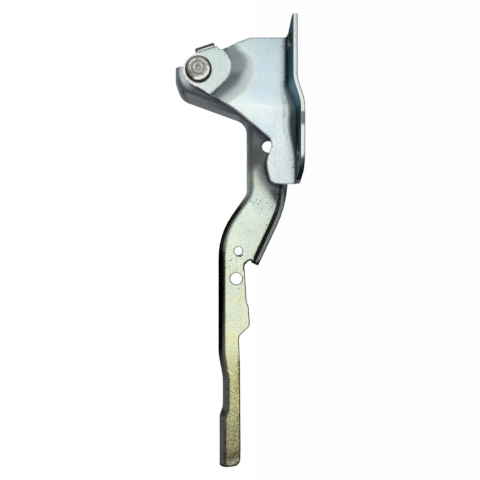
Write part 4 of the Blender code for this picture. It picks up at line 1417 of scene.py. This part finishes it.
steel_low = (0.44, 0.44, 0.40)
steel_high = (0.76, 0.76, 0.70)
steel_bright_arc = (0.80, 0.80, 0.73)
steel_dark_arc = (0.28, 0.27, 0.24)
steel_stain = (0.30, 0.27, 0.23)
steel_shade = (0.20, 0.18, 0.15)
steel_rim_highlight = (0.93, 0.94, 0.91)
shaded_side = (-0.66, 0.75)
highlight_side = (-0.80, -0.60)


def turned_steel():
    """Bare turned steel with fine rings and broad arcs, stained brown in patches, with painted shade on one
    side and a painted highlight at one rim.
    """
    finish = Finish("turned_steel", 0.85)
    radius = finish.from_pivot()
    fine = finish.sine(finish.times(radius, 9000.0))
    rings = finish.span(finish.plus(fine, finish.noise(700.0)), -0.6, 1.6)
    steel = finish.mix(rings, steel_low, steel_high)
    broad = finish.sine(finish.plus(finish.times(radius, 1900.0), 0.25))
    broad = finish.plus(broad, finish.times(finish.noise(300.0, 3.0), 2.2))
    steel = finish.mix(finish.span(broad, 1.1, 2.2, 0.0, 0.55), steel, steel_bright_arc)
    steel = finish.mix(finish.span(broad, 0.6, 0.0, 0.0, 0.35), steel, steel_dark_arc)
    stain = finish.span(finish.noise(420.0, 4.0), 0.40, 0.66)
    colour = finish.mix(finish.times(stain, 0.6), steel, steel_stain)
    # painted shade on one side of the head
    shaded = finish.span(finish.along(shaded_side), 0.0035, 0.0080, 0.0, 0.65)
    colour = finish.mix(shaded, colour, steel_shade)
    # painted highlight on the head's rim, whiter and less metallic
    rim_span = (radius, head_radius - 0.0018, head_radius - 0.0014)
    rim_highlight = finish.where(rim_span, (finish.along(highlight_side), 0.0030, 0.0058))
    colour = finish.mix(rim_highlight, colour, steel_rim_highlight)
    metallic = finish.minus(0.9, finish.times(rim_highlight, 0.8))
    roughness = finish.span(stain, 0.0, 1.0, 0.30, 0.46)
    return finish.done(colour, roughness, finish.bump(rings, 0.25, 0.00008), metallic)


def plain_finish(name, metallic, low, high, rough_low, rough_high):
    """A mottled finish for a small turned piece."""
    finish = Finish(name, metallic)
    mottle = finish.span(finish.noise(380.0, 4.0), 0.35, 0.65)
    roughness = finish.span(mottle, 0.0, 1.0, rough_low, rough_high)
    relief = finish.bump(finish.noise(1800.0, 2.0), 0.1, 0.0001)
    return finish.done(finish.mix(mottle, low, high), roughness, relief)


# the ring under the head is a real part whose near-black colour also paints the shade under the rivet's head
ring_shade_black = (0.012, 0.014, 0.013)
ring_shade_grey = (0.038, 0.042, 0.040)
bronze_low = (0.30, 0.24, 0.15)
bronze_high = (0.45, 0.36, 0.22)
washer_low = (0.60, 0.66, 0.66)
washer_high = (0.74, 0.79, 0.78)
ring_shade_finish = plain_finish("dark_ring_painted_shade", 0.4, ring_shade_black, ring_shade_grey, 0.42, 0.55)
bronze_finish = plain_finish("bearing_bronze", 0.8, bronze_low, bronze_high, 0.35, 0.45)
washer_finish = plain_finish("washer_zinc", 0.8, washer_low, washer_high, 0.28, 0.36)
dress(steel_rivet, turned_steel(), "bracket", "pivot_rivet")
dress(dark_ring, ring_shade_finish, "bracket", "head_washer")
dress(bronze_bush, bronze_finish, "arm", "pivot_bush")
dress(plain_washer, washer_finish, "bracket", "rear_washer")

# Studio: the hinge is held by its flange over a pale floor. The background is white to the eye and in the
# metal. Dark cards above, below and at both ends leave a window of light in front and behind, as on a light
# table.
floor_z = -0.25
ground_size = 12.0
floor_grey = (0.9, 0.9, 0.9)
floor_roughness = 0.9
floor_glow_share = 0.85
card_top = 0.28
card_bottom = -0.17
card_fore = -0.90
card_turn = -0.12
card_rear = 0.45
card_hem = 0.001
middle = (cad_box[0] + cad_box[1]) / 2


def plate(name, corners, material):
    """One flat stage card from its four corners."""
    work = bmesh.new()
    work.faces.new([work.verts.new(p) for p in corners])
    card = placed(name, drawn(name, work))
    card.data.materials.append(material)
    return card


def seen_directly(finish):
    """1 for the eye's rays and for rays off metal or through glass, 0 for the rest."""
    rays = finish.add("ShaderNodeLightPath").outputs
    return finish.largest(rays["Is Camera Ray"], rays["Is Glossy Ray"], rays["Is Transmission Ray"])


def pale_floor():
    """A matt pale floor that reads white and still takes a shadow."""
    finish = Finish("pale_floor", 0.0)
    finish.join(floor_grey, finish.shader.inputs["Base Color"])
    finish.join(floor_roughness, finish.shader.inputs["Roughness"])
    glow = finish.add("ShaderNodeEmission", Strength=1.0)
    share = finish.times(seen_directly(finish), floor_glow_share)
    return finish.shine(finish.add(
        "ShaderNodeMixShader", _0=share, _1=finish.shader.outputs[0], _2=glow.outputs[0],
    ))


def card_cloth(name, levels):
    """The cloth of a studio card, as grey levels along Y: (y, level) from the front, evenly blended."""
    finish = Finish(name, 0.0)
    front = levels[0][0]
    back = levels[-1][0] + card_hem
    share = finish.add("ShaderNodeMapRange", Value=finish.y, From_Min=front, From_Max=back)
    ramp = finish.add("ShaderNodeValToRGB", Fac=share.outputs["Result"])
    stops = ramp.color_ramp.elements
    for _ in levels[2:]:
        stops.new(0.5)
    for stop, (y, level) in zip(stops, levels):
        stop.position = (y - front) / (back - front)
        stop.color = (level, level, level, 1.0)
    return finish.shine(finish.add("ShaderNodeEmission", Color=ramp.outputs["Color"]))


def studio_card(name, start, end, levels):
    """A dark card that only shows in the metal, from one (x, z) to another, over the depths of its levels."""
    front = levels[0][0]
    back = levels[-1][0]
    corners = [(x, y, z) for y, ends in ((front, (start, end)), (back, (end, start))) for x, z in ends]
    card = plate(name, corners, card_cloth(name + "_cloth", levels))
    card.visible_camera = False
    card.visible_diffuse = False
    card.visible_shadow = False
    card.visible_transmission = False


half = ground_size / 2
floor_corners = [(half * x, half * y, floor_z) for x, y in ((-1, -1), (1, -1), (1, 1), (-1, 1))]
plate("floor", floor_corners, pale_floor())
studio_card("top_end_card", (card_fore, card_top), (-0.28, card_top), [(-1.30, 0.16), (1.50, 0.10)])
studio_card("top_front_card", (-0.28, card_top), (-0.24, card_top), [(-1.40, 0.05), (1.50, 0.04)])
studio_card("top_middle_card", (-0.24, card_top), (card_turn, card_top), [(-1.60, 0.004), (1.50, 0.004)])
studio_card("top_rear_card", (card_turn, card_top), (card_rear, card_top), [
    (-1.20, 0.95), (-0.60, 0.68), (-0.32, 0.33), (-0.14, 0.22),
    (-0.04, 0.21), (0.06, 0.38), (0.30, 0.36), (1.50, 0.15),
])
studio_card("bottom_front_card", (card_fore, card_bottom), (-0.10, card_bottom), [
    (-1.50, 0.01), (-0.12, 0.01), (-0.11, 0.30), (0.12, 0.30), (0.13, 0.02), (0.60, 0.02),
])
studio_card("bottom_rear_card", (-0.10, card_bottom), (card_rear, card_bottom), [
    (-0.40, 0.02), (-0.12, 0.02), (-0.11, 0.30), (0.12, 0.30), (0.13, 0.02), (0.60, 0.02),
])
studio_card("rear_end_card", (card_rear, card_top), (card_rear, card_bottom), [
    (-0.90, 0.65), (-0.66, 0.14), (-0.42, 0.10), (-0.32, 0.27), (0.20, 0.27),
])
studio_card("front_end_card", (card_fore, card_top), (card_fore, card_bottom), [(-0.62, 0.07), (1.50, 0.07)])

world = bpy.data.worlds.new("studio")
bpy.context.scene.world = world
world.use_nodes = True
world.node_tree.nodes["Background"].inputs["Color"].default_value = (1.0, 1.0, 1.0, 1.0)


def soft_lamp(name, place, target, width, height, power):
    """A broad soft lamp turned to a target."""
    lamp = bpy.data.lights.new(name, "AREA")
    lamp.shape = "RECTANGLE"
    lamp.size = width
    lamp.size_y = height
    lamp.energy = power
    holder = placed(name, lamp, place)
    holder.rotation_euler = (Vector(target) - Vector(place)).to_track_quat("-Z", "Y").to_euler()


lamp_place = (middle.x + 0.1, -0.95, middle.z + 0.1)
lamp_width = 0.9
lamp_height = 0.4
lamp_power = 0.25
soft_lamp("front_lamp", lamp_place, middle, lamp_width, lamp_height, lamp_power)

# Camera: square on to the rivet's head side, turned so that the arm hangs down the picture, a little under
# half a metre from the pivot.
lens = 42.2
picture_width = 480
shift_right = 8
camera_from_pivot = Vector((-0.1376, -0.450, -0.0270))
data = bpy.data.cameras.new("camera")
data.lens = lens
data.sensor_width = 36.0
data.shift_x = shift_right / picture_width
camera = placed("camera", data)
turn = Matrix(((0.0, 0.0, -1.0), (1.0, 0.0, 0.0), (0.0, -1.0, 0.0))).transposed().to_4x4()
turn.translation = pivot + camera_from_pivot
camera.matrix_world = turn
bpy.context.scene.camera = camera
bpy.context.scene.view_settings.view_transform = "Standard"
